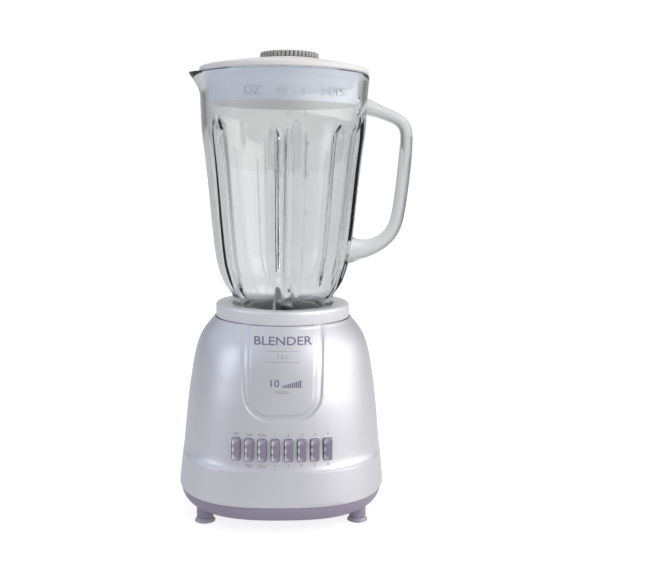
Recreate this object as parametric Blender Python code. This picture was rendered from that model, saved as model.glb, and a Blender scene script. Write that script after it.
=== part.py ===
"""Countertop blender: a motor base with eight push keys and a lift-off glass jar.

Every size is in millimetres and is turned into metres where a mesh is made.
The appliance stands on +Z, its keys face -Y and the jar's handle is on the +X side.
The model is built about the motor's axis, and the frame empty then moves it so
that the origin is the middle of the whole object's footprint, on the worktop.
"""
import bpy
import bmesh
from math import cos, sin, pi, radians, sqrt, copysign, hypot
from mathutils import Matrix, Vector

MM = 0.001
GAP = 0.3                      # clearance between two pieces that touch
CUT = 1.0                      # how far a cutter runs past the surface that it cuts

# ---- motor base: overall sizes ----
BASE_HALF_WIDTH = 84.5         # half of the housing's width and depth at its lower edge
HOUSING_BOTTOM = 24.5          # height of the housing's lower edge
HOUSING_TOP = 159.2            # height of the housing's upper edge
HOUSING_EDGE = 0.7             # how far the upper edge stands out past the seat's ring
HOUSING_WALL = 2.8
SECTION_POWER = 2.6            # squareness of the lower edge; the upper edge is round (2.0)
HOUSING_SIDES = 48
# the side's curve: share of the height, share of the way from the top radius to the bottom one
SIDE_CURVE = ((0.0, 1.0), (0.10, 0.955), (0.26, 0.872), (0.42, 0.805), (0.56, 0.733),
              (0.665, 0.655), (0.73, 0.60), (0.81, 0.51), (0.885, 0.37), (0.945, 0.19), (1.0, 0.0))

# ---- grooved U round the front panel ----
PANEL_HALF_WIDTH = 28.2        # to the middle of the groove
PANEL_BOTTOM = 93.5
PANEL_TOP = 156.0
PANEL_CORNER = 17.0
GROOVE_RADIUS = 6.0
GROOVE_DEPTH = 1.5

# ---- keys ----
KEY_NAMES = ("key_off", "key_low_high", "key_pulse", "key_speed_1",
             "key_speed_2", "key_speed_3", "key_speed_4", "key_speed_5")
KEY_PITCH = 10.0
KEY_WIDTH = 6.5
KEY_HEIGHT = 17.0
KEY_MIDDLE = 68.4
KEY_PROUD = 2.8
KEY_TRAVEL = 3.5
KEY_GAP = 0.4                  # running gap between a key and its window
KEY_REAR = 9.0                 # from the housing's foremost point at the keys to the stems' ends
SWITCH_DEPTH = 14.0

# ---- base plate, its screws and the feet ----
PLATE_BOTTOM = 10.0
PLATE_WALL = 2.8
PLATE_CURVE = 14.3             # width and height of the plate's rounded edge
PLATE_LIP = 3.6                # how far its lip stands inside the housing
PLATE_LIP_GAP = 0.9
FOOT_X = 61.0
FOOT_Y = 46.0
FOOT_POST_RADIUS = 6.6
FOOT_POST_BOTTOM = 3.5
FOOT_RADIUS = 8.2
FOOT_STEM_RADIUS = 2.8
SCREW_X = 60.0
SCREW_Y = 22.0
SCREW_RADIUS = 1.9
SCREW_HEAD_RADIUS = 3.6
SCREW_HEAD = 2.4
SCREW_BOSS_RADIUS = 5.5
SCREW_JOINT = 28.0             # height where the plate's tubes meet the housing's bosses
SCREW_BOSS_TOP = 48.0
VENT_COUNT = 8
VENT_WIDTH = 4.0
VENT_LENGTH = 16.0
VENT_RADIUS = 26.0

# ---- cord inlet at the back ----
GLAND_HEIGHT = 38.0
GLAND_RADIUS = 5.0
GLAND_BORE = 3.2
GLAND_FLANGE = 8.0
GLAND_PROUD = 1.5

# ---- seat that the jar stands in ----
SEAT_RING_WIDTH = 13.3         # from the socket out to the ring's side
SEAT_TOP = 170.2
SEAT_CHAMFER = 1.8
SEAT_WALL = 3.0
SEAT_LEDGE = 142.7             # height of the ledge that carries the jar's collar
WELL_RADIUS = 25.0
WELL_FLOOR = 118.6
SOCKET_GAP = 0.7

# ---- motor ----
SHAFT_RADIUS = 4.0
SHAFT_BOTTOM = 26.5
SHAFT_TOP = 126.0
STACK_BOTTOM = 62.0
STACK_TOP = 98.0
STATOR_YOKE_X = 8.4            # yoke outside the coils, along X
STATOR_YOKE_Y = 7.4
AIR_GAP = 0.7
ARMATURE_RADIUS = 19.3
ARMATURE_SLOTS = 12
COIL_STAND = 0.6               # from the bore to the coils
COIL_DEPTH = 9.0
COIL_INNER_Y = 15.0
COIL_WIDTH = 7.6
COIL_REACH = 8.0               # how far the field coils stand past the stack
BOLT_RADIUS = 2.0
BOLT_HEAD_RADIUS = 3.6
BRACKET_WIDTH = 14.0
LOWER_BRACKET = 38.0
BRACKET_THICKNESS = 4.2
BEARING_WALL = 2.8
BEARING_LENGTH = 5.6
HUB_WALL = 2.8
COMMUTATOR_RADIUS = 11.0
COMMUTATOR_LENGTH = 11.0
BRUSH_WIDTH = 6.0
BRUSH_HEIGHT = 5.0
BRUSH_LENGTH = 12.5
HOLDER_WALL = 1.8
HOLDER_LENGTH = 20.0
FAN_RADIUS = 28.0
FAN_HEIGHT = 9.0
FAN_BLADES = 8
MOUNT_SCREW_Y = 32.0
MOUNT_SCREW_RADIUS = 1.6
MOUNT_BOSS_RADIUS = 5.0

# ---- drive between motor and blades ----
COUPLING_RADIUS = 12.5
COUPLING_BOTTOM = 121.0
COUPLING_SLOT = 7.2
COUPLING_TANG = 6.5
DRIVEN_DISC = 6.6

# ---- jar ----
JAR_TURN = 8.0                 # degrees that the jar stands turned in its seat
JAR_BOTTOM = 150.0             # underside of the glass neck
JAR_SHOULDER = 170.4           # where the glass leaves the seat
JAR_RIM = 353.0
JAR_NECK_RADIUS = 35.6
JAR_SHOULDER_FLARE = 3.9       # how much wider than the neck the glass is at the seat
JAR_RIM_RADIUS = 68.3
JAR_WALL = 4.0
# the glass's side: share of the height over the shoulder, share of the way to the rim's radius
JAR_CURVE = ((0.0, 0.0), (0.042, 0.105), (0.075, 0.26), (0.113, 0.375), (0.188, 0.515),
             (0.33, 0.628), (0.523, 0.742), (0.64, 0.815), (0.767, 0.91),
             (0.915, 0.951), (1.0, 1.0))
FLUTE_COUNT = 6
FLUTE_DEPTH = 2.4
FLUTE_HALF_ANGLE = 6.5         # degrees
FLUTE_LOW = 0.03               # share of the height over the shoulder where a flute starts
FLUTE_HIGH = 0.80
SPOUT_REACH = 8.4
SPOUT_HALF_ANGLE = 22.0
SPOUT_DROP = 14.0
HANDLE_REACH = 107.2           # from the jar's axis to the handle's outer side
HANDLE_HALF_WIDTH = 5.8
HANDLE_THICKNESS = 10.4
HANDLE_TOP = 330.0
HANDLE_BOTTOM = 212.0

# ---- collar, gasket and blade base under the glass ----
COLLAR_WALL = 4.4
COLLAR_TOP = 165.5
COLLAR_LIP = 2.2
COLLAR_LIP_RADIUS = 28.0
THREAD_GAP = 0.8
FLANGE_HEIGHT = 1.5
BLADE_BASE_HUB_TOP = 161.0
BUSHING_RADIUS = 6.0

# ---- blades ----
BLADE_SHAFT_RADIUS = 4.0
BLADE_THICKNESS = 1.4
BLADE_REACH = 26.0
BLADE_HUB_WIDTH = 15.0
BLADE_TIP_WIDTH = 5.0
BLADE_RISE = 13.5
BLADE_DROP = 3.0
BLADE_WASHER = 1.0
BLADE_NUT = 4.6
BLADE_NUT_RADIUS = 7.2

# ---- lid and filler cap ----
LID_RADIUS = 67.4
LID_EDGE = 4.2
LID_RISE = 7.4
LID_WALL = 3.0
LID_SKIRT = 24.0
LID_SKIRT_GAP = 3.2
CAP_RADIUS = 23.5
CAP_HEIGHT = 4.7
CAP_WALL = 2.0
CAP_CUP_RADIUS = 19.8
CAP_CUP_DEPTH = 27.0
CAP_RIBS = 20
CAP_RIB_DEPTH = 0.6
CAP_FIT = 0.5
CAP_OFFSET = 4.0               # the filler hole sits this far from the jar's axis, towards the handle

ROUND = 24                     # sides of a large turned piece
WIDE = 32                      # sides of the seat, the collar and the lid
SMALL = 12                     # sides of a small turned piece


# ------------------------------------------------------------------ shapes

def collar_radius():
    return JAR_NECK_RADIUS + THREAD_GAP + COLLAR_WALL


def socket_radius():
    return collar_radius() + SOCKET_GAP


def seat_ring_radius():
    return socket_radius() + SEAT_RING_WIDTH


def jar_shoulder_radius():
    return JAR_NECK_RADIUS + JAR_SHOULDER_FLARE


def coil_inner_x():
    return ARMATURE_RADIUS + AIR_GAP + COIL_STAND


def stator_half_x():
    return coil_inner_x() + COIL_DEPTH + STATOR_YOKE_X


def stator_half_y():
    return COIL_INNER_Y + COIL_WIDTH + STATOR_YOKE_Y


def mix(a, b, t):
    return a + (b - a) * t


def on_curve(curve, t):
    """Read a curve of (place, value) points at place t."""
    for (t0, v0), (t1, v1) in zip(curve, curve[1:]):
        if t <= t1:
            return mix(v0, v1, (t - t0) / (t1 - t0))
    return curve[-1][1]


def solid(name, bm, smooth=True):
    """Turn a closed bmesh in millimetres into an object in metres."""
    bmesh.ops.remove_doubles(bm, verts=bm.verts, dist=0.001)
    bmesh.ops.recalc_face_normals(bm, faces=bm.faces)
    bmesh.ops.scale(bm, vec=(MM, MM, MM), verts=bm.verts)
    mesh = bpy.data.meshes.new(name)
    bm.to_mesh(mesh)
    bm.free()
    if smooth:
        mesh.shade_smooth()
        mesh.set_sharp_from_angle(angle=radians(35))
    obj = bpy.data.objects.new(name, mesh)
    bpy.context.collection.objects.link(obj)
    return obj


def turned(name, outline, sides=ROUND, middle=(0.0, 0.0)):
    """Spin a closed outline of (radius, height) points about a vertical line."""
    bm = bmesh.new()
    points = [bm.verts.new((r, 0.0, z)) for r, z in outline]
    edges = [bm.edges.new((a, b)) for a, b in zip(points, points[1:] + points[:1])
             if a.co.x > 0 or b.co.x > 0]
    bmesh.ops.spin(bm, geom=points + edges, cent=(0, 0, 0), axis=(0, 0, 1),
                   angle=2 * pi, steps=sides, use_duplicate=False)
    bmesh.ops.translate(bm, vec=(middle[0], middle[1], 0.0), verts=bm.verts)
    return solid(name, bm)


def rod(name, radius, low, high, middle=(0.0, 0.0), sides=SMALL):
    outline = ((0.0, low), (radius, low), (radius, high), (0.0, high))
    return turned(name, outline, sides, middle)


def tube(name, inner, outer, low, high, middle=(0.0, 0.0), sides=SMALL):
    outline = ((inner, low), (outer, low), (outer, high), (inner, high))
    return turned(name, outline, sides, middle)


def add_box(bm, low, high, turn=0.0):
    """Add a block between two corners, turned about the vertical axis."""
    size = [b - a for a, b in zip(low, high)]
    centre = [(a + b) / 2 for a, b in zip(low, high)]
    place = (Matrix.Rotation(turn, 4, 'Z') @ Matrix.Translation(centre)
             @ Matrix.Diagonal((*size, 1.0)))
    bmesh.ops.create_cube(bm, size=1.0, matrix=place)


def blocks(name, *corners):
    """Separate blocks in one object, each given by its low and high corner."""
    bm = bmesh.new()
    for low, high in corners:
        add_box(bm, low, high)
    return solid(name, bm, smooth=False)


def rods(name, radius, low, high, middles, sides=SMALL):
    """Separate upright rods in one object."""
    bm = bmesh.new()
    for x, y in middles:
        place = Matrix.Translation((x, y, (low + high) / 2))
        bmesh.ops.create_cone(bm, cap_ends=True, segments=sides, radius1=radius,
                              radius2=radius, depth=high - low, matrix=place)
    return solid(name, bm)


def lofted(name, rings, closed=False):
    """Bridge rings of equally many points; the ends are capped or joined up."""
    bm = bmesh.new()
    loops = [[bm.verts.new(p) for p in ring] for ring in rings]
    pairs = list(zip(loops, loops[1:]))
    if closed:
        pairs.append((loops[-1], loops[0]))
    for lower, upper in pairs:
        count = len(lower)
        for i in range(count):
            j = (i + 1) % count
            bm.faces.new((lower[i], lower[j], upper[j], upper[i]))
    if not closed:
        bm.faces.new(loops[0])
        bm.faces.new(loops[-1])
    return solid(name, bm)


def combine(target, tool, operation):
    """Apply an exact Boolean and drop the tool."""
    modifier = target.modifiers.new(operation.lower(), 'BOOLEAN')
    modifier.operation = operation
    modifier.solver = 'EXACT'
    modifier.object = tool
    graph = bpy.context.evaluated_depsgraph_get()
    made = bpy.data.meshes.new_from_object(target.evaluated_get(graph))
    target.modifiers.clear()
    old = target.data
    target.data = made
    bpy.data.meshes.remove(old)
    bpy.data.objects.remove(tool, do_unlink=True)
    return target


def cut(target, tool):
    return combine(target, tool, 'DIFFERENCE')


def join(target, tool):
    return combine(target, tool, 'UNION')


def material(name, colour, roughness, metallic=0.0, transmission=0.0):
    made = bpy.data.materials.new(name)
    made.use_nodes = True
    shader = made.node_tree.nodes["Principled BSDF"]
    shader.inputs["Base Color"].default_value = (*colour, 1.0)
    shader.inputs["Roughness"].default_value = roughness
    shader.inputs["Metallic"].default_value = metallic
    shader.inputs["Transmission Weight"].default_value = transmission
    return made


def empty(name, parent=None, place=(0.0, 0.0, 0.0), turn=0.0):
    made = bpy.data.objects.new(name, None)
    made.empty_display_size = 0.02
    made.parent = parent
    made.location = Vector(place) * MM
    made.rotation_euler = (0.0, 0.0, turn)
    bpy.context.collection.objects.link(made)
    return made


def place(obj, parent, finish, origin=(0.0, 0.0, 0.0)):
    """Give a piece its material, its parent and its own origin."""
    shift = Vector(origin) * MM
    obj.data.transform(Matrix.Translation(-shift))
    obj.location = shift
    obj.parent = parent
    obj.data.materials.clear()
    obj.data.materials.append(finish)
    return obj


# ------------------------------------------------------------------ housing form

def housing_half_width(z):
    """Outer half width of the housing at height z."""
    share = (z - HOUSING_BOTTOM) / (HOUSING_TOP - HOUSING_BOTTOM)
    return mix(seat_ring_radius() + HOUSING_EDGE, BASE_HALF_WIDTH, on_curve(SIDE_CURVE, share))


def housing_power(z):
    share = (z - HOUSING_BOTTOM) / (HOUSING_TOP - HOUSING_BOTTOM)
    return mix(SECTION_POWER, 2.0, min(max(share, 0.0), 1.0))


def housing_inner(z):
    """Inner half width: the wall keeps its thickness where the side leans."""
    step = 1.0
    high = min(z + step, HOUSING_TOP)
    low = max(z - step, HOUSING_BOTTOM)
    lean = (housing_half_width(low) - housing_half_width(high)) / (high - low)
    return housing_half_width(z) - HOUSING_WALL * sqrt(1 + lean * lean)


def squared_ring(half, z, power, sides=HOUSING_SIDES):
    """Ring of points on a rounded square of the given half width."""
    ring = []
    for i in range(sides):
        c = cos(2 * pi * (i + 0.5) / sides)
        s = sin(2 * pi * (i + 0.5) / sides)
        x = half * copysign(abs(c) ** (2 / power), c)
        y = half * copysign(abs(s) ** (2 / power), s)
        ring.append((x, y, z))
    return ring


def squared_depth(across, half, power):
    """Distance from the middle to a rounded square's side, across from the axis."""
    return half * (1 - (abs(across) / half) ** power) ** (1 / power)


def housing_depth(x, z):
    """Distance from the axis plane to the housing's outer surface."""
    return squared_depth(x, housing_half_width(z), housing_power(z))


def corners(x, y):
    return [(sx * x, sy * y) for sx in (-1, 1) for sy in (-1, 1)]


# ------------------------------------------------------------------ base pieces

def groove_cutter():
    """Round bar bent into the U of the front panel, lying on the housing's face."""
    path = []
    steps = 5
    for i in range(6):
        path.append((-PANEL_HALF_WIDTH, mix(PANEL_TOP, PANEL_BOTTOM + PANEL_CORNER, i / 6)))
    for side, start in ((-1, pi), (1, 1.5 * pi)):
        centre = side * (PANEL_HALF_WIDTH - PANEL_CORNER)
        for i in range(steps + 1):
            a = start + i / steps * pi / 2
            path.append((centre + PANEL_CORNER * cos(a),
                         PANEL_BOTTOM + PANEL_CORNER + PANEL_CORNER * sin(a)))
    for i in range(1, 7):
        path.append((PANEL_HALF_WIDTH, mix(PANEL_BOTTOM + PANEL_CORNER, PANEL_TOP, i / 6)))
    stand = GROOVE_RADIUS - GROOVE_DEPTH
    spots = [Vector((x, -housing_depth(x, z) - stand, z)) for x, z in path]
    rings = []
    for i, spot in enumerate(spots):
        along = (spots[min(i + 1, len(spots) - 1)] - spots[max(i - 1, 0)]).normalized()
        side = along.cross(Vector((0, -1, 0))).normalized()
        out = side.cross(along).normalized()
        rings.append([spot + GROOVE_RADIUS * (cos(a) * side + sin(a) * out)
                      for a in (2 * pi * (k + 0.5) / 8 for k in range(8))])
    return lofted("groove_cutter", rings)


def make_housing(parent, finish):
    span = HOUSING_TOP - HOUSING_BOTTOM
    heights = [HOUSING_BOTTOM + span * share for share, _ in SIDE_CURVE]
    outer = [squared_ring(housing_half_width(z), z, housing_power(z)) for z in heights]
    inner = [squared_ring(housing_inner(z), z, housing_power(z)) for z in heights[::-2]]
    housing = lofted("housing", outer + inner, closed=True)
    bosses = rods("bosses", SCREW_BOSS_RADIUS, SCREW_JOINT, SCREW_BOSS_TOP,
                  corners(SCREW_X, SCREW_Y), 16)
    join(housing, bosses)
    join(housing, boss_webs())
    join(housing, gland_boss())
    holes = rods("holes", SCREW_RADIUS + GAP, SCREW_JOINT - CUT, SCREW_BOSS_TOP - HOUSING_WALL,
                 corners(SCREW_X, SCREW_Y), 12)
    cut(housing, holes)
    cut(housing, groove_cutter())
    cut(housing, key_windows())
    cut(housing, gland_rod("inlet", GLAND_RADIUS + GAP, BASE_HALF_WIDTH - 4 * HOUSING_WALL,
                           BASE_HALF_WIDTH + CUT))
    return place(housing, parent, finish)


def boss_webs():
    """Webs that carry the screw bosses out to the housing's wall."""
    low = SCREW_JOINT + 2
    high = SCREW_BOSS_TOP - 1
    wall = squared_depth(SCREW_Y, housing_half_width(high), housing_power(high))
    reach = wall - 0.25 * HOUSING_WALL
    half = 1.5
    spans = []
    for side in (-1, 1):
        near, far = sorted((side * SCREW_X, side * reach))
        for y in (-SCREW_Y, SCREW_Y):
            spans.append(((near, y - half, low), (far, y + half, high)))
    return blocks("webs", *spans)


def gland_rod(name, radius, near, far):
    """Rod along Y at the cord inlet."""
    bm = bmesh.new()
    spot = Matrix.Translation((0, (near + far) / 2, GLAND_HEIGHT)) @ Matrix.Rotation(pi / 2, 4, 'X')
    bmesh.ops.create_cone(bm, cap_ends=True, segments=SMALL, radius1=radius, radius2=radius,
                          depth=far - near, matrix=spot)
    return solid(name, bm)


def gland_face():
    """Flat face round the cord inlet, a little proud of the curved wall."""
    return BASE_HALF_WIDTH - 0.2


def gland_boss():
    return gland_rod("gland_boss", GLAND_FLANGE + 1.0, BASE_HALF_WIDTH - 2 * HOUSING_WALL, gland_face())


def make_cord_gland(parent, finish):
    """Grommet that lines the cord inlet in the rear wall."""
    face = gland_face() + GAP
    rear = BASE_HALF_WIDTH - 2 * HOUSING_WALL - GAP
    gland = gland_rod("cord_gland", GLAND_RADIUS, rear - 2.0, face + GLAND_PROUD)
    join(gland, gland_rod("flange", GLAND_FLANGE, face, face + GLAND_PROUD))
    cut(gland, gland_rod("bore", GLAND_BORE, rear - 2.0 - CUT, face + GLAND_PROUD + CUT))
    return place(gland, parent, finish)


def make_jar_seat(parent, finish):
    """Ring on top of the housing with the socket for the jar's collar."""
    flange = HOUSING_TOP + GAP
    socket = socket_radius()
    plug = housing_inner(HOUSING_TOP) - GAP
    ring = seat_ring_radius()
    outline = (
        (ring, flange), (ring, SEAT_TOP - 3.0), (ring - SEAT_CHAMFER, SEAT_TOP),
        (socket, SEAT_TOP), (socket, SEAT_LEDGE), (WELL_RADIUS, SEAT_LEDGE),
        (WELL_RADIUS, WELL_FLOOR), (SHAFT_RADIUS + 2.5, WELL_FLOOR),
        (SHAFT_RADIUS + 2.5, WELL_FLOOR - SEAT_WALL), (WELL_RADIUS + SEAT_WALL, WELL_FLOOR - SEAT_WALL),
        (WELL_RADIUS + SEAT_WALL, SEAT_LEDGE - SEAT_WALL), (socket + SEAT_WALL, SEAT_LEDGE - SEAT_WALL),
        (socket + SEAT_WALL, flange - SEAT_WALL), (plug, flange - SEAT_WALL), (plug, flange))
    seat = turned("jar_seat", outline, WIDE)
    low = bracket_top() + GAP
    middles = ((0.0, -MOUNT_SCREW_Y), (0.0, MOUNT_SCREW_Y))
    join(seat, rods("bosses", MOUNT_BOSS_RADIUS, low, SEAT_LEDGE - SEAT_WALL / 2, middles, 16))
    cut(seat, rods("holes", MOUNT_SCREW_RADIUS + GAP, low - CUT, low + 14, middles, 12))
    return place(seat, parent, finish)


def key_reach(x):
    """Distance from the axis plane to the housing's face at a key."""
    return housing_depth(x, KEY_MIDDLE)


def key_places():
    first = -KEY_PITCH * (len(KEY_NAMES) - 1) / 2
    return [first + KEY_PITCH * i for i in range(len(KEY_NAMES))]


def key_windows():
    half = KEY_WIDTH / 2 + KEY_GAP
    tall = KEY_HEIGHT / 2 + KEY_GAP
    front = -key_reach(0) - 2 * CUT
    rear = -key_reach(key_places()[0]) + 3 * HOUSING_WALL
    spans = [((x - half, front, KEY_MIDDLE - tall), (x + half, rear, KEY_MIDDLE + tall))
             for x in key_places()]
    return blocks("windows", *spans)


def make_key(name, x, parent, finish):
    """Push key with a crowned face, as a block whose front is drawn out to a ridge."""
    face = -key_reach(x) - KEY_PROUD
    rear = -key_reach(0) + KEY_REAR
    rings = []
    for y, inset in ((rear, 0.0), (face + 1.5, 0.0), (face + 0.5, 0.5), (face, 1.6)):
        w = KEY_WIDTH / 2 - inset
        h = KEY_HEIGHT / 2 - inset
        r = 1.2
        ring = []
        for cx, cz, start in ((w - r, h - r, 0), (r - w, h - r, 1), (r - w, r - h, 2), (w - r, r - h, 3)):
            for k in range(3):
                a = (start + k / 2) * pi / 2
                ring.append((x + cx + r * cos(a), y, KEY_MIDDLE + cz + r * sin(a)))
        rings.append(ring)
    return place(lofted(name, rings), parent, finish, origin=(x, face, KEY_MIDDLE))


def make_switch_body(parent, finish):
    """Switch block behind the keys, with clearance for their travel."""
    front = -key_reach(0) + KEY_REAR + KEY_TRAVEL + 1.5
    half = KEY_PITCH * len(KEY_NAMES) / 2 + 2.0
    tall = KEY_HEIGHT / 2 + 5.0
    body = blocks("switch_body", ((-half, front, KEY_MIDDLE - tall),
                                  (half, front + SWITCH_DEPTH, KEY_MIDDLE + tall)))
    step = SWITCH_DEPTH / 3
    sides = [((side - 3.0, front - CUT, KEY_MIDDLE - tall - CUT),
              (side + 3.0, front + step, KEY_MIDDLE + tall + CUT)) for side in (-half, half)]
    return place(cut(body, blocks("steps", *sides)), parent, finish)


def plate_rings():
    """Rings of the base plate's pan, from the floor inside round to the floor outside."""
    top = HOUSING_BOTTOM - GAP
    outer = BASE_HALF_WIDTH - 1.2
    centre = outer - PLATE_CURVE
    lip = housing_inner(top + PLATE_LIP) - PLATE_LIP_GAP
    inner = lip - PLATE_WALL
    power = SECTION_POWER
    lip_power = housing_power(top + PLATE_LIP)
    rings = []
    deep = top - PLATE_BOTTOM
    for i in range(3):
        a = pi / 2 * i / 2
        rings.append(squared_ring(centre + (inner - centre) * sin(a),
                                  top - (deep - PLATE_WALL) * cos(a), power))
    rings.append(squared_ring(inner, top + PLATE_LIP, lip_power))
    rings.append(squared_ring(lip, top + PLATE_LIP, lip_power))
    rings.append(squared_ring(lip, top, lip_power))
    for i in range(4):
        a = pi / 2 * i / 3
        rings.append(squared_ring(centre + PLATE_CURVE * cos(a), top - deep * sin(a), power))
    return rings


def make_base_plate(parent, finish):
    plate = lofted("base_plate", plate_rings())
    feet = corners(FOOT_X, FOOT_Y)
    screws = corners(SCREW_X, SCREW_Y)
    join(plate, rods("posts", FOOT_POST_RADIUS, FOOT_POST_BOTTOM, PLATE_BOTTOM + 6, feet))
    join(plate, rods("tubes", SCREW_BOSS_RADIUS, PLATE_BOTTOM + CUT, SCREW_JOINT - GAP, screws, 16))
    cut(plate, rods("foot_holes", FOOT_STEM_RADIUS + GAP, FOOT_POST_BOTTOM - CUT, PLATE_BOTTOM + 2, feet, 16))
    cut(plate, rods("screw_holes", SCREW_RADIUS + GAP, PLATE_BOTTOM - CUT, SCREW_JOINT + CUT, screws, 12))
    cut(plate, rods("head_holes", SCREW_HEAD_RADIUS + 2 * GAP, PLATE_BOTTOM - CUT,
                    PLATE_BOTTOM + SCREW_HEAD + 1.0, screws, 16))
    vents = bmesh.new()
    for i in range(VENT_COUNT):
        add_box(vents, (VENT_RADIUS - VENT_LENGTH / 2, -VENT_WIDTH / 2, PLATE_BOTTOM - CUT),
                (VENT_RADIUS + VENT_LENGTH / 2, VENT_WIDTH / 2, PLATE_BOTTOM + 2 * PLATE_WALL),
                turn=2 * pi * i / VENT_COUNT)
    cut(plate, solid("vents", vents, smooth=False))
    return place(plate, parent, finish)


def make_foot(name, x, y, parent, finish):
    """Suction foot: a flared cup with a stem that pushes into the plate's post."""
    top = FOOT_POST_BOTTOM - GAP
    rim = FOOT_RADIUS
    outline = ((0.0, 1.6), (rim - 5.0, 0.0), (rim - 0.4, 0.0), (rim, 0.6), (rim - 2.2, top),
               (FOOT_STEM_RADIUS, top), (FOOT_STEM_RADIUS, PLATE_BOTTOM), (0.0, PLATE_BOTTOM))
    return place(turned(name, outline, 16, (x, y)), parent, finish, origin=(x, y, 0.0))


def make_base_screw(name, x, y, parent, finish):
    seat = PLATE_BOTTOM + SCREW_HEAD + 1.0 - GAP
    outline = ((0.0, seat - SCREW_HEAD), (SCREW_HEAD_RADIUS, seat - SCREW_HEAD), (SCREW_HEAD_RADIUS, seat),
               (SCREW_RADIUS, seat), (SCREW_RADIUS, SCREW_BOSS_TOP - HOUSING_WALL - CUT),
               (0.0, SCREW_BOSS_TOP - HOUSING_WALL - CUT))
    return place(turned(name, outline, 12, (x, y)), parent, finish, origin=(x, y, seat))


# ------------------------------------------------------------------ motor, fixed pieces

def bolt_x():
    """The motor's through bolts sit in the middle of the stator's side yokes."""
    return (coil_inner_x() + COIL_DEPTH + stator_half_x()) / 2


def bracket_low():
    """Underside of the upper bracket, clear of the field coils."""
    return STACK_TOP + COIL_REACH + 0.8


def bracket_top():
    return bracket_low() + BRACKET_THICKNESS + 1.0


def bearing_radius():
    return SHAFT_RADIUS + GAP + BEARING_WALL


def make_stator(parent, finish):
    """Laminated field stack with two poles, its bore and four coil slots."""
    hx, hy = stator_half_x(), stator_half_y()
    stator = blocks("stator_core", ((-hx, -hy, STACK_BOTTOM), (hx, hy, STACK_TOP)))
    bore = ARMATURE_RADIUS + AIR_GAP
    cut(stator, rods("bore", bore, STACK_BOTTOM - CUT, STACK_TOP + CUT, ((0, 0),), ROUND))
    slots = []
    for sx in (-1, 1):
        for sy in (-1, 1):
            near, far = sorted((sx * (coil_inner_x() - 8), sx * (coil_inner_x() + COIL_DEPTH + 0.6)))
            low, high = sorted((sy * (COIL_INNER_Y - 0.6), sy * (COIL_INNER_Y + COIL_WIDTH + 0.6)))
            slots.append(((near, low, STACK_BOTTOM - CUT), (far, high, STACK_TOP + CUT)))
    cut(stator, blocks("slots", *slots))
    spots = ((-bolt_x(), 0), (bolt_x(), 0))
    cut(stator, rods("bolt_holes", BOLT_RADIUS + GAP, STACK_BOTTOM - CUT, STACK_TOP + CUT, spots, 12))
    return place(stator, parent, finish)


def make_field_coil(name, side, parent, finish):
    """Field coil: a loop of wire round one pole's neck."""
    near, far = sorted((side * coil_inner_x(), side * (coil_inner_x() + COIL_DEPTH)))
    wide = COIL_INNER_Y + COIL_WIDTH
    gap = 0.5
    coil = blocks(name, ((near, -wide, STACK_BOTTOM - COIL_REACH), (far, wide, STACK_TOP + COIL_REACH)))
    window = blocks("window", ((near - CUT, -COIL_INNER_Y, STACK_BOTTOM - gap),
                               (far + CUT, COIL_INNER_Y, STACK_TOP + gap)))
    modifier = coil.modifiers.new("round", 'BEVEL')
    modifier.width = 1.5 * MM
    modifier.segments = 1
    modifier.angle_limit = radians(50)
    return place(cut(coil, window), parent, finish)


def bracket(name, low, high, hub_low, hub_high, legs, arm, ears, ear_radius):
    """Motor bracket: a cross with a bearing hub, two legs on the stack and drilled ears."""
    reach = stator_half_x()
    half = BRACKET_WIDTH / 2
    made = blocks(name, ((-reach, -half, low), (reach, half, high)))
    join(made, blocks("arm", ((-half, -arm, low), (half, arm, high))))
    hub = bearing_radius() + GAP + HUB_WALL
    join(made, rods("hub", hub, hub_low, hub_high, ((0, 0),), ROUND))
    leg_x = coil_inner_x() + COIL_DEPTH + 0.8
    join(made, blocks("legs", *[((min(s * leg_x, s * reach), -half, legs[0]),
                                 (max(s * leg_x, s * reach), half, legs[1])) for s in (-1, 1)]))
    cut(made, rods("bearing_hole", bearing_radius() + GAP, low - 20, high + 20, ((0, 0),), ROUND))
    spots = ((-bolt_x(), 0), (bolt_x(), 0))
    cut(made, rods("bolt_holes", BOLT_RADIUS + GAP, low - 20, high + 20, spots, 12))
    if ears:
        cut(made, rods("ear_holes", ear_radius, low - CUT, high + CUT, ears, 12))
    return made


def make_upper_bracket(parent, finish):
    low, high = bracket_low(), bracket_top()
    ears = ((0, -MOUNT_SCREW_Y), (0, MOUNT_SCREW_Y))
    made = bracket("upper_bracket", low, high, low, high, (STACK_TOP + GAP, low + 2),
                   MOUNT_SCREW_Y + MOUNT_BOSS_RADIUS, ears, MOUNT_SCREW_RADIUS + GAP)
    return place(made, parent, finish)


def make_lower_bracket(parent, finish):
    low = LOWER_BRACKET
    high = low + BRACKET_THICKNESS
    made = bracket("lower_bracket", low, high, low, low + BEARING_LENGTH + 0.4,
                   (high - 1, STACK_BOTTOM - GAP), COMMUTATOR_RADIUS + 2 + HOLDER_LENGTH, (), 0)
    return place(made, parent, finish)


def make_bearing(name, low, parent, finish):
    ring = tube(name, SHAFT_RADIUS + GAP, bearing_radius(), low, low + BEARING_LENGTH, sides=ROUND)
    return place(ring, parent, finish)


def brush_height():
    return commutator_bottom() + COMMUTATOR_LENGTH / 2


def commutator_bottom():
    return LOWER_BRACKET + BEARING_LENGTH + 1.4


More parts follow.
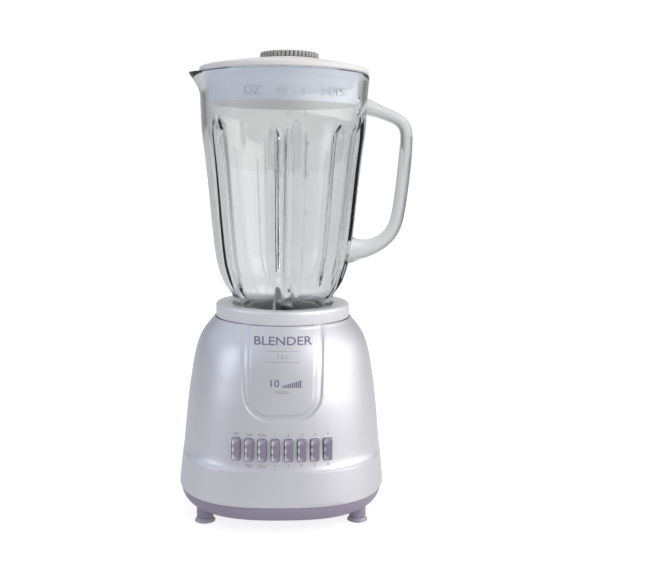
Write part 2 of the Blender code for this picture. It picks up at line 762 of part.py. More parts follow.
def make_brush_set(word, side, parent, brass, carbon, steel):
    """Holder, carbon brush and spring on one side of the commutator."""
    z = brush_height()
    half = BRUSH_WIDTH / 2
    tall = BRUSH_HEIGHT / 2
    start = COMMUTATOR_RADIUS + 2.0
    end = start + HOLDER_LENGTH
    wall = HOLDER_WALL

    def span(near, far, half_x, low, high):
        a, b = sorted((side * near, side * far))
        return (-half_x, a, low), (half_x, b, high)

    bottom = LOWER_BRACKET + BRACKET_THICKNESS + GAP
    holder = blocks("brush_holder_" + word, span(start, end, half + GAP + wall, bottom, z + tall + GAP + wall))
    cut(holder, blocks("hole", span(start - CUT, end - wall, half + GAP, z - tall - GAP, z + tall + GAP)))
    place(holder, parent, brass)
    first = COMMUTATOR_RADIUS + GAP
    brush = blocks("brush_" + word, span(first, first + BRUSH_LENGTH, half, z - tall, z + tall))
    place(brush, parent, carbon)
    spring = coil_spring("brush_spring_" + word, side, first + BRUSH_LENGTH + GAP, end - wall - GAP, z)
    place(spring, parent, steel)


def coil_spring(name, side, near, far, z, radius=1.9, wire=0.35, turns=3, per_turn=8):
    """Helical spring along Y between two places."""
    count = turns * per_turn
    spots = []
    for i in range(count + 1):
        t = i / count
        a = 2 * pi * turns * t
        spots.append(Vector((radius * cos(a), side * mix(near + wire, far - wire, t), z + radius * sin(a))))
    rings = []
    for i, spot in enumerate(spots):
        along = (spots[min(i + 1, count)] - spots[max(i - 1, 0)]).normalized()
        out = Vector((spot.x, 0, spot.z - z)).normalized()
        other = along.cross(out).normalized()
        rings.append([spot + wire * (cos(k * pi / 2) * out + sin(k * pi / 2) * other) for k in range(4)])
    return lofted(name, rings)


def make_motor_bolt(name, x, parent, finish):
    seat = LOWER_BRACKET - GAP
    top = bracket_top() + 1.5
    outline = ((0.0, seat - 2.6), (BOLT_HEAD_RADIUS, seat - 2.6), (BOLT_HEAD_RADIUS, seat),
               (BOLT_RADIUS, seat), (BOLT_RADIUS, top), (0.0, top))
    return place(turned(name, outline, 12, (x, 0.0)), parent, finish, origin=(x, 0.0, seat))


def make_mount_screw(name, y, parent, finish):
    seat = bracket_low() - GAP
    top = bracket_top() + GAP + 14 - CUT
    outline = ((0.0, seat - 2.4), (3.2, seat - 2.4), (3.2, seat),
               (MOUNT_SCREW_RADIUS, seat), (MOUNT_SCREW_RADIUS, top), (0.0, top))
    return place(turned(name, outline, 12, (0.0, y)), parent, finish, origin=(0.0, y, seat))


# ------------------------------------------------------------------ motor, turning pieces

def make_motor_shaft(parent, finish):
    return place(rod("motor_shaft", SHAFT_RADIUS, SHAFT_BOTTOM, SHAFT_TOP, sides=ROUND), parent, finish)


def make_armature(parent, steel, copper):
    """Slotted core with the ends of its winding above and below."""
    ring = []
    slot = ARMATURE_RADIUS - 5.0
    share = 2 * pi / ARMATURE_SLOTS
    for i in range(ARMATURE_SLOTS):
        for turn, radius in ((0.0, ARMATURE_RADIUS), (0.40, ARMATURE_RADIUS), (0.72, ARMATURE_RADIUS),
                             (0.74, slot), (0.98, slot)):
            a = share * (i + turn)
            ring.append((radius, a))
    rings = [[(r * cos(a), r * sin(a), z) for r, a in ring] for z in (STACK_BOTTOM, STACK_TOP)]
    core = lofted("armature_core", rings)
    cut(core, rods("shaft_hole", SHAFT_RADIUS + GAP, STACK_BOTTOM - CUT, STACK_TOP + CUT, ((0, 0),), ROUND))
    place(core, parent, steel)
    low = commutator_bottom() + COMMUTATOR_LENGTH + GAP
    for word, bottom, top in (("lower", low, STACK_BOTTOM - GAP),
                              ("upper", STACK_TOP + GAP, STACK_TOP + COIL_REACH - 1.0)):
        inner = SHAFT_RADIUS + GAP
        outer = ARMATURE_RADIUS - 2.0
        round_off = 1.6
        outline = ((inner, bottom), (outer - round_off, bottom), (outer, bottom + round_off),
                   (outer, top - round_off), (outer - round_off, top), (inner, top))
        place(turned("winding_" + word, outline, 24), parent, copper)


def make_commutator(parent, finish):
    low = commutator_bottom()
    high = low + COMMUTATOR_LENGTH
    made = tube("commutator", SHAFT_RADIUS + GAP, COMMUTATOR_RADIUS, low, high, sides=24)
    return place(made, parent, finish)


def make_fan(parent, finish):
    """Cooling fan: a disc on a hub with straight blades under it."""
    low = SHAFT_BOTTOM + 0.5
    high = low + FAN_HEIGHT
    hub = SHAFT_RADIUS + 3.2
    outline = ((SHAFT_RADIUS + GAP, low), (hub, low), (hub, high - 1.8), (FAN_RADIUS, high - 1.8),
               (FAN_RADIUS, high), (SHAFT_RADIUS + GAP, high))
    fan = turned("motor_fan", outline, ROUND)
    blades = bmesh.new()
    for i in range(FAN_BLADES):
        add_box(blades, (hub - 0.6, -0.75, low + 1.0), (FAN_RADIUS - 1.0, 0.75, high - 0.9),
                turn=2 * pi * (i + 0.5) / FAN_BLADES)
    return place(join(fan, solid("blades", blades, smooth=False)), parent, finish)


def coupling_top():
    return SHAFT_TOP + COUPLING_TANG + 1.4


def make_drive_coupling(parent, finish):
    """Metal coupling on the motor shaft, with a slot across its top."""
    top = coupling_top()
    made = rod("drive_coupling", COUPLING_RADIUS, COUPLING_BOTTOM, top, sides=ROUND)
    half = COUPLING_SLOT / 2
    floor = top - COUPLING_TANG - 0.2
    cut(made, blocks("slot", ((-COUPLING_RADIUS - CUT, -half, floor), (COUPLING_RADIUS + CUT, half, top + CUT))))
    cut(made, rods("bore", SHAFT_RADIUS + GAP, COUPLING_BOTTOM - CUT, SHAFT_TOP + GAP, ((0, 0),), ROUND))
    return place(made, parent, finish)


def make_slinger(parent, finish):
    """Rubber washer that throws spilt liquid off the shaft."""
    low = WELL_FLOOR + GAP
    made = tube("slinger", SHAFT_RADIUS + GAP, SHAFT_RADIUS + 5.5, low, COUPLING_BOTTOM - GAP, sides=24)
    return place(made, parent, finish)


# ------------------------------------------------------------------ jar

def jar_share(z):
    return (z - JAR_SHOULDER) / (JAR_RIM - JAR_SHOULDER)


def jar_radius(z):
    """Outer radius of the glass, without flutes and spout."""
    if z <= COLLAR_TOP + GAP:
        return JAR_NECK_RADIUS
    if z <= JAR_SHOULDER:
        t = (z - COLLAR_TOP - GAP) / (JAR_SHOULDER - COLLAR_TOP - GAP)
        return mix(JAR_NECK_RADIUS, jar_shoulder_radius(), t)
    return mix(jar_shoulder_radius(), JAR_RIM_RADIUS, on_curve(JAR_CURVE, jar_share(z)))


def flute(angle, z):
    """How far the glass is drawn in by a flute at this angle and height."""
    share = jar_share(z)
    if share <= FLUTE_LOW or share >= FLUTE_HIGH:
        return 0.0
    pitch = 360.0 / FLUTE_COUNT
    off = abs((angle + pitch / 2) % pitch - pitch / 2)
    if off >= FLUTE_HALF_ANGLE:
        return 0.0
    ends = min((share - FLUTE_LOW) / 0.08, (FLUTE_HIGH - share) / 0.06, 1.0)
    return FLUTE_DEPTH * ends * 0.5 * (1 + cos(pi * off / FLUTE_HALF_ANGLE))


def spout(angle, z):
    """How far the rim is drawn out into the pouring lip."""
    off = abs((angle - 270.0 + 180.0) % 360.0 - 180.0)
    drop = (JAR_RIM - z) / SPOUT_DROP
    if off >= SPOUT_HALF_ANGLE or drop >= 1.0:
        return 0.0
    return SPOUT_REACH * (1 - drop) ** 1.5 * 0.5 * (1 + cos(pi * off / SPOUT_HALF_ANGLE))


def jar_angles():
    """Directions of the glass's facets, closer together across each flute."""
    pitch = 360.0 / FLUTE_COUNT
    half = FLUTE_HALF_ANGLE
    rest = pitch - 2 * half
    angles = []
    for i in range(FLUTE_COUNT):
        start = i * pitch - half
        angles += [start + half * 2 * k / 4 for k in range(4)]
        angles += [start + 2 * half + rest * k / 4 for k in range(4)]
    return angles


def jar_ring(z, inward=0.0):
    """Ring of the glass at height z; 0 degrees is at -Y and the handle is at 90."""
    ring = []
    for angle in jar_angles():
        r = jar_radius(z) - flute(angle, z) + spout(angle, z) - inward
        a = radians(angle - 90.0)
        ring.append((r * cos(a), r * sin(a), z))
    return ring


def handle_section(centre, across, half_thick, half_wide, sides=10):
    """Rounded section of the handle; across is the direction of its thickness."""
    ring = []
    for k in range(sides):
        a = 2 * pi * (k + 0.5) / sides
        c, s = cos(a), sin(a)
        u = half_thick * copysign(abs(c) ** 0.7, c)
        v = half_wide * copysign(abs(s) ** 0.7, s)
        ring.append((centre[0] + across[0] * u, v, centre[1] + across[1] * u))
    return ring


def handle_line():
    """Middle line of the handle in the jar's XZ plane, root to root, with its thickness."""
    half = HANDLE_THICKNESS / 2
    out = HANDLE_REACH - half
    top = HANDLE_TOP
    low = HANDLE_BOTTOM
    tall = top - low
    upper_root = jar_radius(top) - 0.6 * JAR_WALL
    lower_root = jar_radius(low) - 0.7 * JAR_WALL
    run = out - upper_root
    fall = out - lower_root
    return (
        (upper_root, top - 0.01 * tall, 1.45), (upper_root + 0.32 * run, top - 0.035 * tall, 1.15),
        (upper_root + 0.66 * run, top - 0.075 * tall, 0.95), (upper_root + 0.90 * run, top - 0.125 * tall, 0.9),
        (out, top - 0.20 * tall, 0.95), (out - 0.3, top - 0.30 * tall, 1.0),
        (out - 1.6, top - 0.46 * tall, 1.08), (out - 4.0, top - 0.64 * tall, 1.1),
        (out - 7.2, top - 0.80 * tall, 1.1), (lower_root + 0.72 * fall, top - 0.90 * tall, 1.15),
        (lower_root + 0.48 * fall, top - 0.97 * tall, 1.25), (lower_root + 0.22 * fall, low, 1.5),
        (lower_root, low, 2.2))


def make_handle():
    line = handle_line()
    half = HANDLE_THICKNESS / 2
    rings = []
    for i, (x, z, share) in enumerate(line):
        x0, z0, _ = line[max(i - 1, 0)]
        x1, z1, _ = line[min(i + 1, len(line) - 1)]
        along = Vector((x1 - x0, z1 - z0)).normalized()
        rings.append(handle_section((x, z), (-along.y, along.x), half * share, HANDLE_HALF_WIDTH))
    return lofted("handle", rings)


def make_jar_glass(parent, finish):
    """Glass jar with flutes, a pouring lip and its handle, cast in one."""
    span = JAR_RIM - JAR_SHOULDER
    tail = [JAR_SHOULDER + share * span for share, _ in JAR_CURVE]
    neck = [JAR_BOTTOM, COLLAR_TOP + GAP]
    lip = [JAR_RIM - SPOUT_DROP * 0.45]
    heights = sorted(neck + tail + lip)
    outer = [jar_ring(z) for z in heights]
    inside = [h for i, h in enumerate(heights) if i % 3 == 0 or h > JAR_RIM - SPOUT_DROP]
    inner = [jar_ring(z, JAR_WALL) for z in reversed(inside)]
    glass = lofted("jar_glass", outer + inner, closed=True)
    outside = lofted("outside", [jar_ring(z, JAR_WALL * 0.5) for z in heights])
    join(glass, cut(make_handle(), outside))
    return place(glass, parent, finish, origin=(0.0, 0.0, JAR_BOTTOM))


def collar_bottom():
    return SEAT_LEDGE + GAP


def flange_bottom():
    return collar_bottom() + COLLAR_LIP + GAP


def make_jar_collar(parent, finish):
    """Threaded ring that clamps the blade base to the glass and stands in the seat."""
    bore = JAR_NECK_RADIUS + THREAD_GAP
    outer = collar_radius()
    low = collar_bottom()
    outline = ((outer, low), (outer, COLLAR_TOP), (bore, COLLAR_TOP),
               (bore, low + COLLAR_LIP), (COLLAR_LIP_RADIUS, low + COLLAR_LIP), (COLLAR_LIP_RADIUS, low))
    made = turned("jar_collar", outline, WIDE)
    grips = bmesh.new()
    for i in range(12):
        add_box(grips, (outer - 0.8, -2.0, low - CUT), (outer + 2.0, 2.0, COLLAR_TOP - 4.0),
                turn=2 * pi * (i + 0.5) / 12)
    return place(cut(made, solid("grips", grips, smooth=False)), parent, finish, origin=(0, 0, low))


def make_jar_gasket(parent, finish):
    low = flange_bottom() + FLANGE_HEIGHT + GAP
    high = JAR_BOTTOM - GAP
    outer = JAR_NECK_RADIUS - 0.5
    made = tube("jar_gasket", outer - 5.0, outer, low, high, sides=ROUND)
    return place(made, parent, finish, origin=(0, 0, low))


def make_blade_base(parent, finish):
    """Dished plate that closes the jar and carries the blades' bushing."""
    low = flange_bottom()
    edge = JAR_NECK_RADIUS - 0.5
    inside = JAR_NECK_RADIUS - JAR_WALL - 1.5
    hole = BUSHING_RADIUS + GAP
    hub = hole + 2.8
    outline = ((hole, low), (edge, low), (edge, low + FLANGE_HEIGHT), (inside, low + FLANGE_HEIGHT),
               (inside - 0.6, low + 5.0), (hub + 4.0, low + 7.2), (hub, low + 9.5),
               (hub, BLADE_BASE_HUB_TOP), (hole, BLADE_BASE_HUB_TOP))
    return place(turned("blade_base", outline, ROUND), parent, finish, origin=(0, 0, low))


def make_blade_bushing(parent, finish):
    made = tube("blade_bushing", BLADE_SHAFT_RADIUS + GAP, BUSHING_RADIUS,
                flange_bottom() - 1.0, BLADE_BASE_HUB_TOP + GAP)
    return place(made, parent, finish, origin=(0, 0, BLADE_BASE_HUB_TOP))


# ------------------------------------------------------------------ blades

def driven_bottom():
    return coupling_top() + GAP


def washer_bottom():
    return BLADE_BASE_HUB_TOP + 2 * GAP


def lower_blade_height():
    return washer_bottom() + BLADE_WASHER + GAP


def upper_blade_height():
    return lower_blade_height() + BLADE_THICKNESS + GAP


def nut_bottom():
    return upper_blade_height() + BLADE_THICKNESS + GAP


def make_blade_shaft(parent, finish):
    low = driven_bottom() + 2 * GAP
    high = nut_bottom() + BLADE_NUT + 1.5
    made = rod("blade_shaft", BLADE_SHAFT_RADIUS, low, high)
    return place(made, parent, finish, origin=(0, 0, low))


def make_driven_coupling(parent, finish):
    """Coupling under the jar, with a tang that drops into the drive coupling's slot."""
    low = driven_bottom()
    made = rod("driven_coupling", COUPLING_RADIUS - 0.5, low, low + DRIVEN_DISC, sides=ROUND)
    half = COUPLING_SLOT / 2 - 0.4
    reach = COUPLING_RADIUS - 1.5
    join(made, blocks("tang", ((-reach, -half, coupling_top() - COUPLING_TANG + 0.3), (reach, half, low + 1.0))))
    cut(made, rods("bore", BLADE_SHAFT_RADIUS + GAP, low + GAP, low + DRIVEN_DISC + CUT, ((0, 0),)))
    return place(made, parent, finish, origin=(0, 0, low))


def make_blade(name, low, tip_lift, turn, parent, finish):
    """Strip with two bent wings that taper to blunt tips."""
    bend = BLADE_HUB_WIDTH * 0.62
    stations = ((-BLADE_REACH, tip_lift, BLADE_TIP_WIDTH), (-bend, 0.0, BLADE_HUB_WIDTH * 0.8),
                (-5.0, 0.0, BLADE_HUB_WIDTH), (5.0, 0.0, BLADE_HUB_WIDTH),
                (bend, 0.0, BLADE_HUB_WIDTH * 0.8), (BLADE_REACH, tip_lift, BLADE_TIP_WIDTH))
    rings = []
    for x, lift, width in stations:
        z = low + lift
        half = width / 2
        rings.append([(x, -half, z), (x, half, z), (x, half - 1.0, z + BLADE_THICKNESS),
                      (x, 1.0 - half, z + BLADE_THICKNESS)])
    made = lofted(name, rings)
    cut(made, rods("bore", BLADE_SHAFT_RADIUS + GAP, low - CUT, low + BLADE_THICKNESS + CUT, ((0, 0),)))
    made.data.transform(Matrix.Rotation(radians(turn), 4, 'Z'))
    return place(made, parent, finish, origin=(0, 0, low))


def make_blade_washer(parent, finish):
    low = washer_bottom()
    made = tube("blade_washer", BLADE_SHAFT_RADIUS + GAP, BLADE_SHAFT_RADIUS + 4.0, low, low + BLADE_WASHER)
    return place(made, parent, finish, origin=(0, 0, low))


def make_blade_nut(parent, finish):
    low = nut_bottom()
    made = rod("blade_nut", BLADE_NUT_RADIUS, low, low + BLADE_NUT, sides=6)
    cut(made, rods("bore", BLADE_SHAFT_RADIUS + GAP, low - CUT, low + BLADE_NUT + CUT, ((0, 0),)))
    return place(made, parent, finish, origin=(0, 0, low))


# ------------------------------------------------------------------ lid and cap

def lid_bottom():
    return JAR_RIM + GAP


def lid_top():
    return lid_bottom() + LID_EDGE + LID_RISE


def make_lid(parent, finish):
    """Soft lid: a shallow cone with a hole for the cap and a skirt inside the jar's rim."""
    low = lid_bottom()
    edge = low + LID_EDGE
    top = lid_top()
    flat = CAP_RADIUS + 0.8
    hole = CAP_CUP_RADIUS + CAP_FIT
    skirt_end = JAR_RIM - LID_SKIRT
    skirt = jar_radius(skirt_end) - JAR_WALL - LID_SKIRT_GAP
    wall = LID_WALL
    outline = (
        (LID_RADIUS, low), (LID_RADIUS, edge - 1.0), (LID_RADIUS - 1.0, edge), (flat, top), (hole, top),
        (hole, top - 12.0), (hole + 2.4, top - 12.0), (hole + 2.4, top - wall),
        (skirt - wall, edge - wall + 1.3), (skirt - wall, skirt_end), (skirt, skirt_end), (skirt, low))
    lid = turned("lid", outline, WIDE)
    for vertex in lid.data.vertices:
        reach = hypot(vertex.co.x, vertex.co.y) / MM
        share = min(max((skirt - wall - reach) / (skirt - wall - flat), 0.0), 1.0)
        vertex.co.x += CAP_OFFSET * share * MM
    return place(lid, parent, finish, origin=(0, 0, low))


def make_filler_cap(parent, finish):
    """Clear cap: a ribbed disc with a measuring cup under it."""
    low = lid_top() + GAP
    top = low + CAP_HEIGHT
    rings = []
    steps = CAP_RIBS * 2
    for z, radius, rib in ((low, CAP_RADIUS - 0.5, CAP_RIB_DEPTH), (low + 0.5, CAP_RADIUS, CAP_RIB_DEPTH),
                           (top - 0.9, CAP_RADIUS, CAP_RIB_DEPTH), (top, CAP_RADIUS - 0.9, 0.0)):
        rings.append([((radius - rib * (k % 2)) * cos(2 * pi * k / steps),
                       (radius - rib * (k % 2)) * sin(2 * pi * k / steps), z) for k in range(steps)])
    cap = lofted("filler_cap", rings)
    join(cap, rod("cup", CAP_CUP_RADIUS, top - CAP_HEIGHT - CAP_CUP_DEPTH, low + 1.0, sides=ROUND))
    cut(cap, rod("inside", CAP_CUP_RADIUS - CAP_WALL, low - CAP_CUP_DEPTH - CUT, low + 0.7, sides=ROUND))
    cut(cap, turned("dish", ((0.0, top - 1.6), (CAP_RADIUS - 4.0, top - 1.6),
                             (CAP_RADIUS - 3.4, top + CUT), (0.0, top + CUT)), ROUND))
    cap.data.transform(Matrix.Translation((CAP_OFFSET * MM, 0, 0)))
    return place(cap, parent, finish, origin=(CAP_OFFSET, 0, low))


# ------------------------------------------------------------------ the whole blender

def jar_reach():
    """How far the turned jar's handle and pouring lip reach along X from the axis."""
    turn = radians(JAR_TURN)
    handle = HANDLE_REACH * cos(turn) + HANDLE_HALF_WIDTH * 0.5 * sin(turn)
    return max(handle, BASE_HALF_WIDTH), BASE_HALF_WIDTH


def build():
    for old in list(bpy.data.objects):
        bpy.data.objects.remove(old, do_unlink=True)

    pearl = material("pearl_plastic", (0.70, 0.71, 0.75), 0.35)
    white = material("white_plastic", (0.80, 0.79, 0.78), 0.40)
    lilac = material("lilac_grey_plastic", (0.24, 0.21, 0.27), 0.45)
    clear_rubber = material("clear_rubber", (0.55, 0.62, 0.72), 0.30, transmission=0.5)
    black = material("black_rubber", (0.03, 0.03, 0.03), 0.60)
    switch_black = material("switch_plastic", (0.05, 0.05, 0.05), 0.50)
    glass = material("jar_glass", (0.88, 0.95, 0.92), 0.03, transmission=1.0)
    clear_plastic = material("clear_plastic", (0.86, 0.86, 0.86), 0.10, transmission=0.8)
    steel = material("steel", (0.60, 0.61, 0.62), 0.25, 1.0)
    bracket_metal = material("cast_aluminium", (0.52, 0.53, 0.54), 0.45, 1.0)
    lamination = material("laminated_steel", (0.25, 0.25, 0.27), 0.50, 1.0)
    copper = material("enamelled_copper", (0.60, 0.24, 0.10), 0.35, 1.0)
    brass = material("brass", (0.70, 0.52, 0.22), 0.30, 1.0)
    carbon = material("carbon", (0.04, 0.04, 0.045), 0.70)
    fan_plastic = material("fan_plastic", (0.12, 0.12, 0.13), 0.50)

    right, left = jar_reach()
    frame = empty("blender_frame", place=((left - right) / 2, 0.0, 0.0))
    rotor = empty("rotor_axis", frame, turn=radians(JAR_TURN))
    jar = empty("jar_axis", frame, turn=radians(JAR_TURN))
    blades = empty("blade_axis", jar)
    lid = empty("lid_axis", jar)

    make_housing(frame, pearl)
    make_jar_seat(frame, white)
    make_base_plate(frame, lilac)
    make_cord_gland(frame, black)
    make_switch_body(frame, switch_black)
    for name, x in zip(KEY_NAMES, key_places()):
        make_key(name, x, frame, lilac)
    for word_y, sy in (("front", -1), ("rear", 1)):
        for word_x, sx in (("left", -1), ("right", 1)):
            end = word_y + "_" + word_x
            make_foot("foot_" + end, sx * FOOT_X, sy * FOOT_Y, frame, clear_rubber)
            make_base_screw("base_screw_" + end, sx * SCREW_X, sy * SCREW_Y, frame, steel)

    make_stator(frame, lamination)
    for word, side in (("left", -1), ("right", 1)):
        make_field_coil("field_coil_" + word, side, frame, copper)
        make_motor_bolt("motor_bolt_" + word, side * bolt_x(), frame, steel)
    for word, side in (("front", -1), ("rear", 1)):
        make_brush_set(word, side, frame, brass, carbon, steel)
        make_mount_screw("mount_screw_" + word, side * MOUNT_SCREW_Y, frame, steel)
    make_upper_bracket(frame, bracket_metal)
    make_lower_bracket(frame, bracket_metal)
    make_bearing("upper_bearing", bracket_low() + 0.2, frame, brass)
    make_bearing("lower_bearing", LOWER_BRACKET + 0.2, frame, brass)

    make_motor_shaft(rotor, steel)
    make_armature(rotor, lamination, copper)
    make_commutator(rotor, copper)
    make_fan(rotor, fan_plastic)
    make_drive_coupling(rotor, steel)
    make_slinger(rotor, black)

    make_jar_glass(jar, glass)
    make_jar_collar(jar, white)
    make_jar_gasket(jar, black)
    make_blade_base(jar, steel)
    make_blade_bushing(jar, brass)

    make_blade_shaft(blades, steel)
    make_driven_coupling(blades, steel)
    make_blade_washer(blades, steel)
    make_blade("blade_lower", lower_blade_height(), -BLADE_DROP, 0.0, blades, steel)
    make_blade("blade_upper", upper_blade_height(), BLADE_RISE, 90.0, blades, steel)
    make_blade_nut(blades, steel)

    make_lid(lid, white)
    make_filler_cap(lid, clear_plastic)


build()
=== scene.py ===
from bisect import bisect_right
from math import atan2, ceil, copysign, cos, degrees, exp, hypot, pi, radians, sin
import bpy
import bmesh
from mathutils import Matrix, Vector


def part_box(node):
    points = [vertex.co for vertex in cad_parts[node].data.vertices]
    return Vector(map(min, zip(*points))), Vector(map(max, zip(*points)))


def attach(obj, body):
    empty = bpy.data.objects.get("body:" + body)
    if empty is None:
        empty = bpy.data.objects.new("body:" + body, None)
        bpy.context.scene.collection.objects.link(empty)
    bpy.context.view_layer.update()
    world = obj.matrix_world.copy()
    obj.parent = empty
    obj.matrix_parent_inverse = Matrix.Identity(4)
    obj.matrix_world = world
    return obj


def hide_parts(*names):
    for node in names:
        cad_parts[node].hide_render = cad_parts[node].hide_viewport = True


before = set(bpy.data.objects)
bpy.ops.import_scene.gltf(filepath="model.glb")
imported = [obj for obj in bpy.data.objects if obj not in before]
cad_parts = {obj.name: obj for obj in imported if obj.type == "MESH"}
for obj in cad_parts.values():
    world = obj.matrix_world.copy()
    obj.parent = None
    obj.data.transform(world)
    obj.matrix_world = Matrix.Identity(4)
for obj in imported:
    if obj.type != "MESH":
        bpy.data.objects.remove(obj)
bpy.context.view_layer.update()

# All lengths below are in millimetres about the motor's axis, on the worktop.
MM = 0.001


def node_box(name):
    low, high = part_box(name)
    return [v / MM for v in low], [v / MM for v in high]


def half_width(name):
    low, high = node_box(name)
    return (high[0] - low[0]) / 2


# ---------------- sizes from the frame
SEAT_LOW, SEAT_HIGH = node_box("jar_seat")
AXIS_X = (SEAT_LOW[0] + SEAT_HIGH[0]) / 2
RING_RADIUS = half_width("jar_seat")
RING_TOP = SEAT_HIGH[2]
HOUSE_LOW, HOUSE_HIGH = node_box("housing")
HOUSE_BOTTOM = HOUSE_LOW[2]
HOUSE_TOP = HOUSE_HIGH[2]
HALF = half_width("housing")
GLASS_LOW, GLASS_HIGH = node_box("jar_glass")
JAR_BOTTOM = GLASS_LOW[2]
JAR_RIM = GLASS_HIGH[2]
LID_LOW, LID_HIGH = node_box("lid")
CAP_LOW, CAP_HIGH = node_box("filler_cap")
CAP_RADIUS = half_width("filler_cap")
COLLAR_LOW, COLLAR_HIGH = node_box("jar_collar")
COLLAR_RADIUS = half_width("jar_collar")
KEYS = ["key_off", "key_low_high", "key_pulse"] + ["key_speed_%d" % n for n in range(1, 6)]
KEY_HALF = half_width(KEYS[0])
SIDES = ("left", "right")
ENDS = ("front", "rear")


def each(name, ends):
    """Names of the pieces of one kind, one for each end."""
    return ["%s_%s" % (name, end) for end in ends]


FEET = each("foot_front", SIDES) + each("foot_rear", SIDES)
BASE_SCREWS = each("base_screw_front", SIDES) + each("base_screw_rear", SIDES)
GAP = 0.3                      # clearance between pieces that touch
JAR_TURN = radians(8.0)        # how far the jar is turned on its seat


def middle(name):
    """Middle of a frame piece, about the motor's axis."""
    low, high = node_box(name)
    return (low[0] + high[0]) / 2 - AXIS_X, (low[1] + high[1]) / 2


FOOT_SPOTS = [middle(name) for name in FEET]
SCREW_SPOTS = [middle(name) for name in BASE_SCREWS]
# middle, lower end and upper end of every key
KEY_SPOTS = [(middle(name)[0], node_box(name)[0][2], node_box(name)[1][2]) for name in KEYS]


# ---------------- small maths

def mix(a, b, t):
    return a + (b - a) * t


def within(t):
    return min(max(t, 0.0), 1.0)


def ease(t):
    t = within(t)
    return t * t * (3 - 2 * t)


def smooth_curve(points, t):
    """Smooth curve through (place, value) points with rising places."""
    places = [p for p, _ in points]
    i = min(max(bisect_right(places, t) - 1, 0), len(points) - 2)

    def slope(k):
        a = max(k - 1, 0)
        b = min(k + 1, len(points) - 1)
        return (points[b][1] - points[a][1]) / (points[b][0] - points[a][0])

    (t0, v0), (t1, v1) = points[i], points[i + 1]
    span = t1 - t0
    u = within((t - t0) / span)
    m0, m1 = slope(i) * span, slope(i + 1) * span
    return ((2 * u ** 3 - 3 * u * u + 1) * v0 + (u ** 3 - 2 * u * u + u) * m0
            + (3 * u * u - 2 * u ** 3) * v1 + (u ** 3 - u * u) * m1)


def spaced(stops):
    """Places from one stop to the next, each stretch with its own largest step."""
    made = [stops[0][0]]
    for (a, _), (b, step) in zip(stops, stops[1:]):
        count = max(1, ceil(abs(b - a) / step))
        made += [mix(a, b, k / count) for k in range(1, count + 1)]
    return made


# ---------------- modelling by hand

def clear_selection():
    bpy.ops.object.select_all(action='DESELECT')


def only(obj):
    clear_selection()
    obj.select_set(True)
    bpy.context.view_layer.objects.active = obj


def add(name, primitive, **settings):
    """Add a primitive, name it and put its place into its mesh."""
    clear_selection()
    primitive(**settings)
    obj = bpy.context.object
    obj.name = name
    bpy.ops.object.transform_apply(location=True, rotation=True, scale=True)
    return obj


def edit(obj):
    only(obj)
    bpy.ops.object.mode_set(mode='EDIT')
    bpy.ops.mesh.select_mode(type='EDGE')


def leave_edit():
    bpy.ops.object.mode_set(mode='OBJECT')


def modify(obj, kind, **settings):
    """Add a modifier and apply it."""
    only(obj)
    modifier = obj.modifiers.new(kind.lower(), kind)
    for key, value in settings.items():
        setattr(modifier, key, value)
    bpy.ops.object.modifier_apply(modifier=modifier.name)
    return obj


def combine(target, tool, operation):
    modify(target, 'BOOLEAN', operation=operation, solver='EXACT', object=tool)
    bpy.data.objects.remove(tool, do_unlink=True)
    return target


def rounded(obj, width, segments=3, angle=30):
    return modify(obj, 'BEVEL', width=width * MM, segments=segments, limit_method='ANGLE',
                  angle_limit=radians(angle), harden_normals=False)


def weld(obj, apart):
    """Merge points closer than this and turn the faces outwards."""
    edit(obj)
    bpy.ops.mesh.select_all(action='SELECT')
    bpy.ops.mesh.remove_doubles(threshold=apart * MM)
    bpy.ops.mesh.normals_make_consistent(inside=False)
    leave_edit()
    return obj


def tidy(obj, angle=32):
    """Weld and shade smooth up to this angle."""
    weld(obj, 0.002)
    bpy.ops.object.shade_smooth_by_angle(angle=radians(angle))
    return obj


def stand(obj, finish, body, turn=0.0):
    """Put a finished piece in its place, with its place in its mesh, and let it ride."""
    only(obj)
    bpy.ops.object.transform_apply(location=True, rotation=True, scale=True)
    obj.data.transform(Matrix.Translation((AXIS_X * MM, 0, 0)) @ Matrix.Rotation(turn, 4, 'Z'))
    obj.data.materials.clear()
    obj.data.materials.append(finish)
    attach(obj, body)
    return obj


def close_up(obj, bridge=False):
    """Join the two open ends to each other, or fill each with a face."""
    edit(obj)
    bpy.ops.mesh.select_all(action='DESELECT')
    bpy.ops.mesh.select_non_manifold()
    if bridge:
        bpy.ops.mesh.bridge_edge_loops()
    else:
        bpy.ops.mesh.fill_holes(sides=0)
    leave_edit()
    return tidy(obj)


def turned(name, outline, sides=128, closed=True):
    """Ring that is extruded, lifted and scaled along an outline of (radius, height)."""
    first_r, first_z = outline[0]
    obj = add(name, bpy.ops.mesh.primitive_circle_add, vertices=sides, radius=first_r * MM)
    edit(obj)
    bpy.ops.mesh.select_all(action='SELECT')
    bpy.ops.transform.translate(value=(0, 0, first_z * MM))
    for (r0, z0), (r1, z1) in zip(outline, outline[1:]):
        bpy.ops.mesh.extrude_edges_move(TRANSFORM_OT_translate={"value": (0, 0, (z1 - z0) * MM)})
        k = r1 / r0
        bpy.ops.transform.resize(value=(k, k, 1), center_override=(0, 0, 0))
    leave_edit()
    return close_up(obj, bridge=closed)


